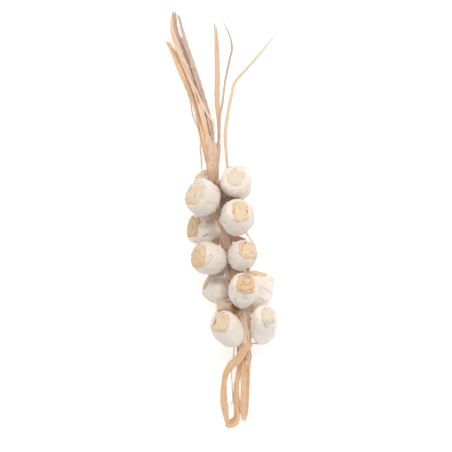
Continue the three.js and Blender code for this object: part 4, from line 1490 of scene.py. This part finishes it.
# %% Binding leaves
BINDING = {  # the two bulbs, places from halfway between them, half widths, finish, tone, soil
    # binding_2_left: its dark tan and soil stand for the shade in the gap between its bulbs: painted shade
    "binding_2_left": ("bulb_2_left", "bulb_3_left", [(21.9, 7, -13), (9.9, 2, -14), (-6, -3.5, -18)],
        [5.8, 5.6, 4], "tan", 0.6, 0.3),
    "binding_2_right": ("bulb_2_right", "bulb_3_right", [(-17.8, 4.3, -20.6), (-5.8, 0.3, -18.6),
        (7, -2.6, -18.6)], [6.2, 4.9, 2.4], "tan", 0.4, 0.1),
    "binding_3_left": ("bulb_3_left", "bulb_4_back", [(18.4, 9, 1.5), (6.4, 4, -2.5), (-7.6, 0, -6.5)],
        [6.8, 6.2, 4], "mauve", 0.6, 0.1),
    "binding_3_right": ("bulb_3_right", "bulb_4_left", [(-15.7, 9.2, -19.5), (-3.7, 3.2, -19.5),
        (10.2, -2.7, -23.5)], [4, 4.5, 3], "tan", 0.7, 0.3),
    "binding_4_left": ("bulb_4_back", "bulb_5_left", [(-9, 5, -8.5), (4, 3, -4.5), (22.8, -4.7, 4.2)],
        [3.5, 8.2, 6], "cream", 0.9, 0.15),
    "binding_4_right": ("bulb_4_right", "bulb_5_right", [(-21.4, -2.6, -0.5), (-7.4, 1.3, -6.5),
        (5.5, 5.5, -12.5)], [5, 7, 4.4], "mauve", 0.4, 0.05),
    # binding_1_left: its olive brown stands for the shade in the gap between its bulbs: painted shade
    "binding_1_left": ("bulb_1_left", "bulb_2_left", [(22, -4.2, -8), (13, -2.6, -10), (4, -2, -14)],
        [5.4, 6, 4], "pale", 1.0, 0.3),
    "binding_4_middle": ("bulb_4_back", "bulb_5_left", [(3, 7.5, -12), (8.5, 8.5, -11), (15, 7.5, -9)],
        [2.4, 3.6, 3], "cream", 0.9, 0.15),
    "binding_2_fibre": ("bulb_2_right", "bulb_3_right", [(8, 9, -8), (15.9, -2.4, -4), (22, -11.6, -12)],
        [0.5, 0.6, 0.4], "peach", 0.8, 0.1),
}
RIBBONS = [(0, 0, 1.0), (-2.2, 1.0, 0.45), (2.6, 0.9, 0.4)]  # shift, lift and share of the width of each
draws = np.random.default_rng(800)
for name, (one, other, places, widths, finish, tone, soil) in BINDING.items():
    start = (ANCHORS[one] + ANCHORS[other]) / 2
    look = {"fold": 0.25, "twist": 0.3, "rag": (3 * MM, 3 * MM), "tone": tone, "soil": soil}
    parts = [
        flat_ribbon(start, np.array(places) + (0, shift, lift), np.array(widths) * share, draws, **look)
        for shift, lift, share in RIBBONS
    ]
    make_leafy(name, parts, finish, "leaf")
tell("with the leaves between the bulbs:")

# %% [markdown]
# ## The floor
#
# A plain pale sheet under the braid. It isn't part of the object, and it is only there to catch a soft
# shadow.

# %% Floor
FLOOR_SIZE = 12.0
FLOOR_COLOUR = (0.8, 0.8, 0.8, 1)
FLOOR_ROUGHNESS = 0.9
FLOOR_GLOW = 0.42

floor_mesh = bpy.data.meshes.new("floor")
corners = [(x * FLOOR_SIZE / 2, y * FLOOR_SIZE / 2, 0) for x, y in ((-1, -1), (1, -1), (1, 1), (-1, 1))]
floor_mesh.from_pydata(corners, [], [(0, 1, 2, 3)])
floor = bpy.data.objects.new("floor", floor_mesh)
floor_paint = bpy.data.materials.new("floor_paint")
floor_paint.use_nodes = True
floor_shader = floor_paint.node_tree.nodes["Principled BSDF"]
floor_shader.inputs["Base Color"].default_value = FLOOR_COLOUR
floor_shader.inputs["Roughness"].default_value = FLOOR_ROUGHNESS
floor_shader.inputs["Emission Color"].default_value = (1, 1, 1, 1)
floor_shader.inputs["Emission Strength"].default_value = FLOOR_GLOW
floor_mesh.materials.append(floor_paint)
scene.collection.objects.link(floor)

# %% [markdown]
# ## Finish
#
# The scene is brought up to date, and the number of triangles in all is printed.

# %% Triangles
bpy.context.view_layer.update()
tell("in all:")
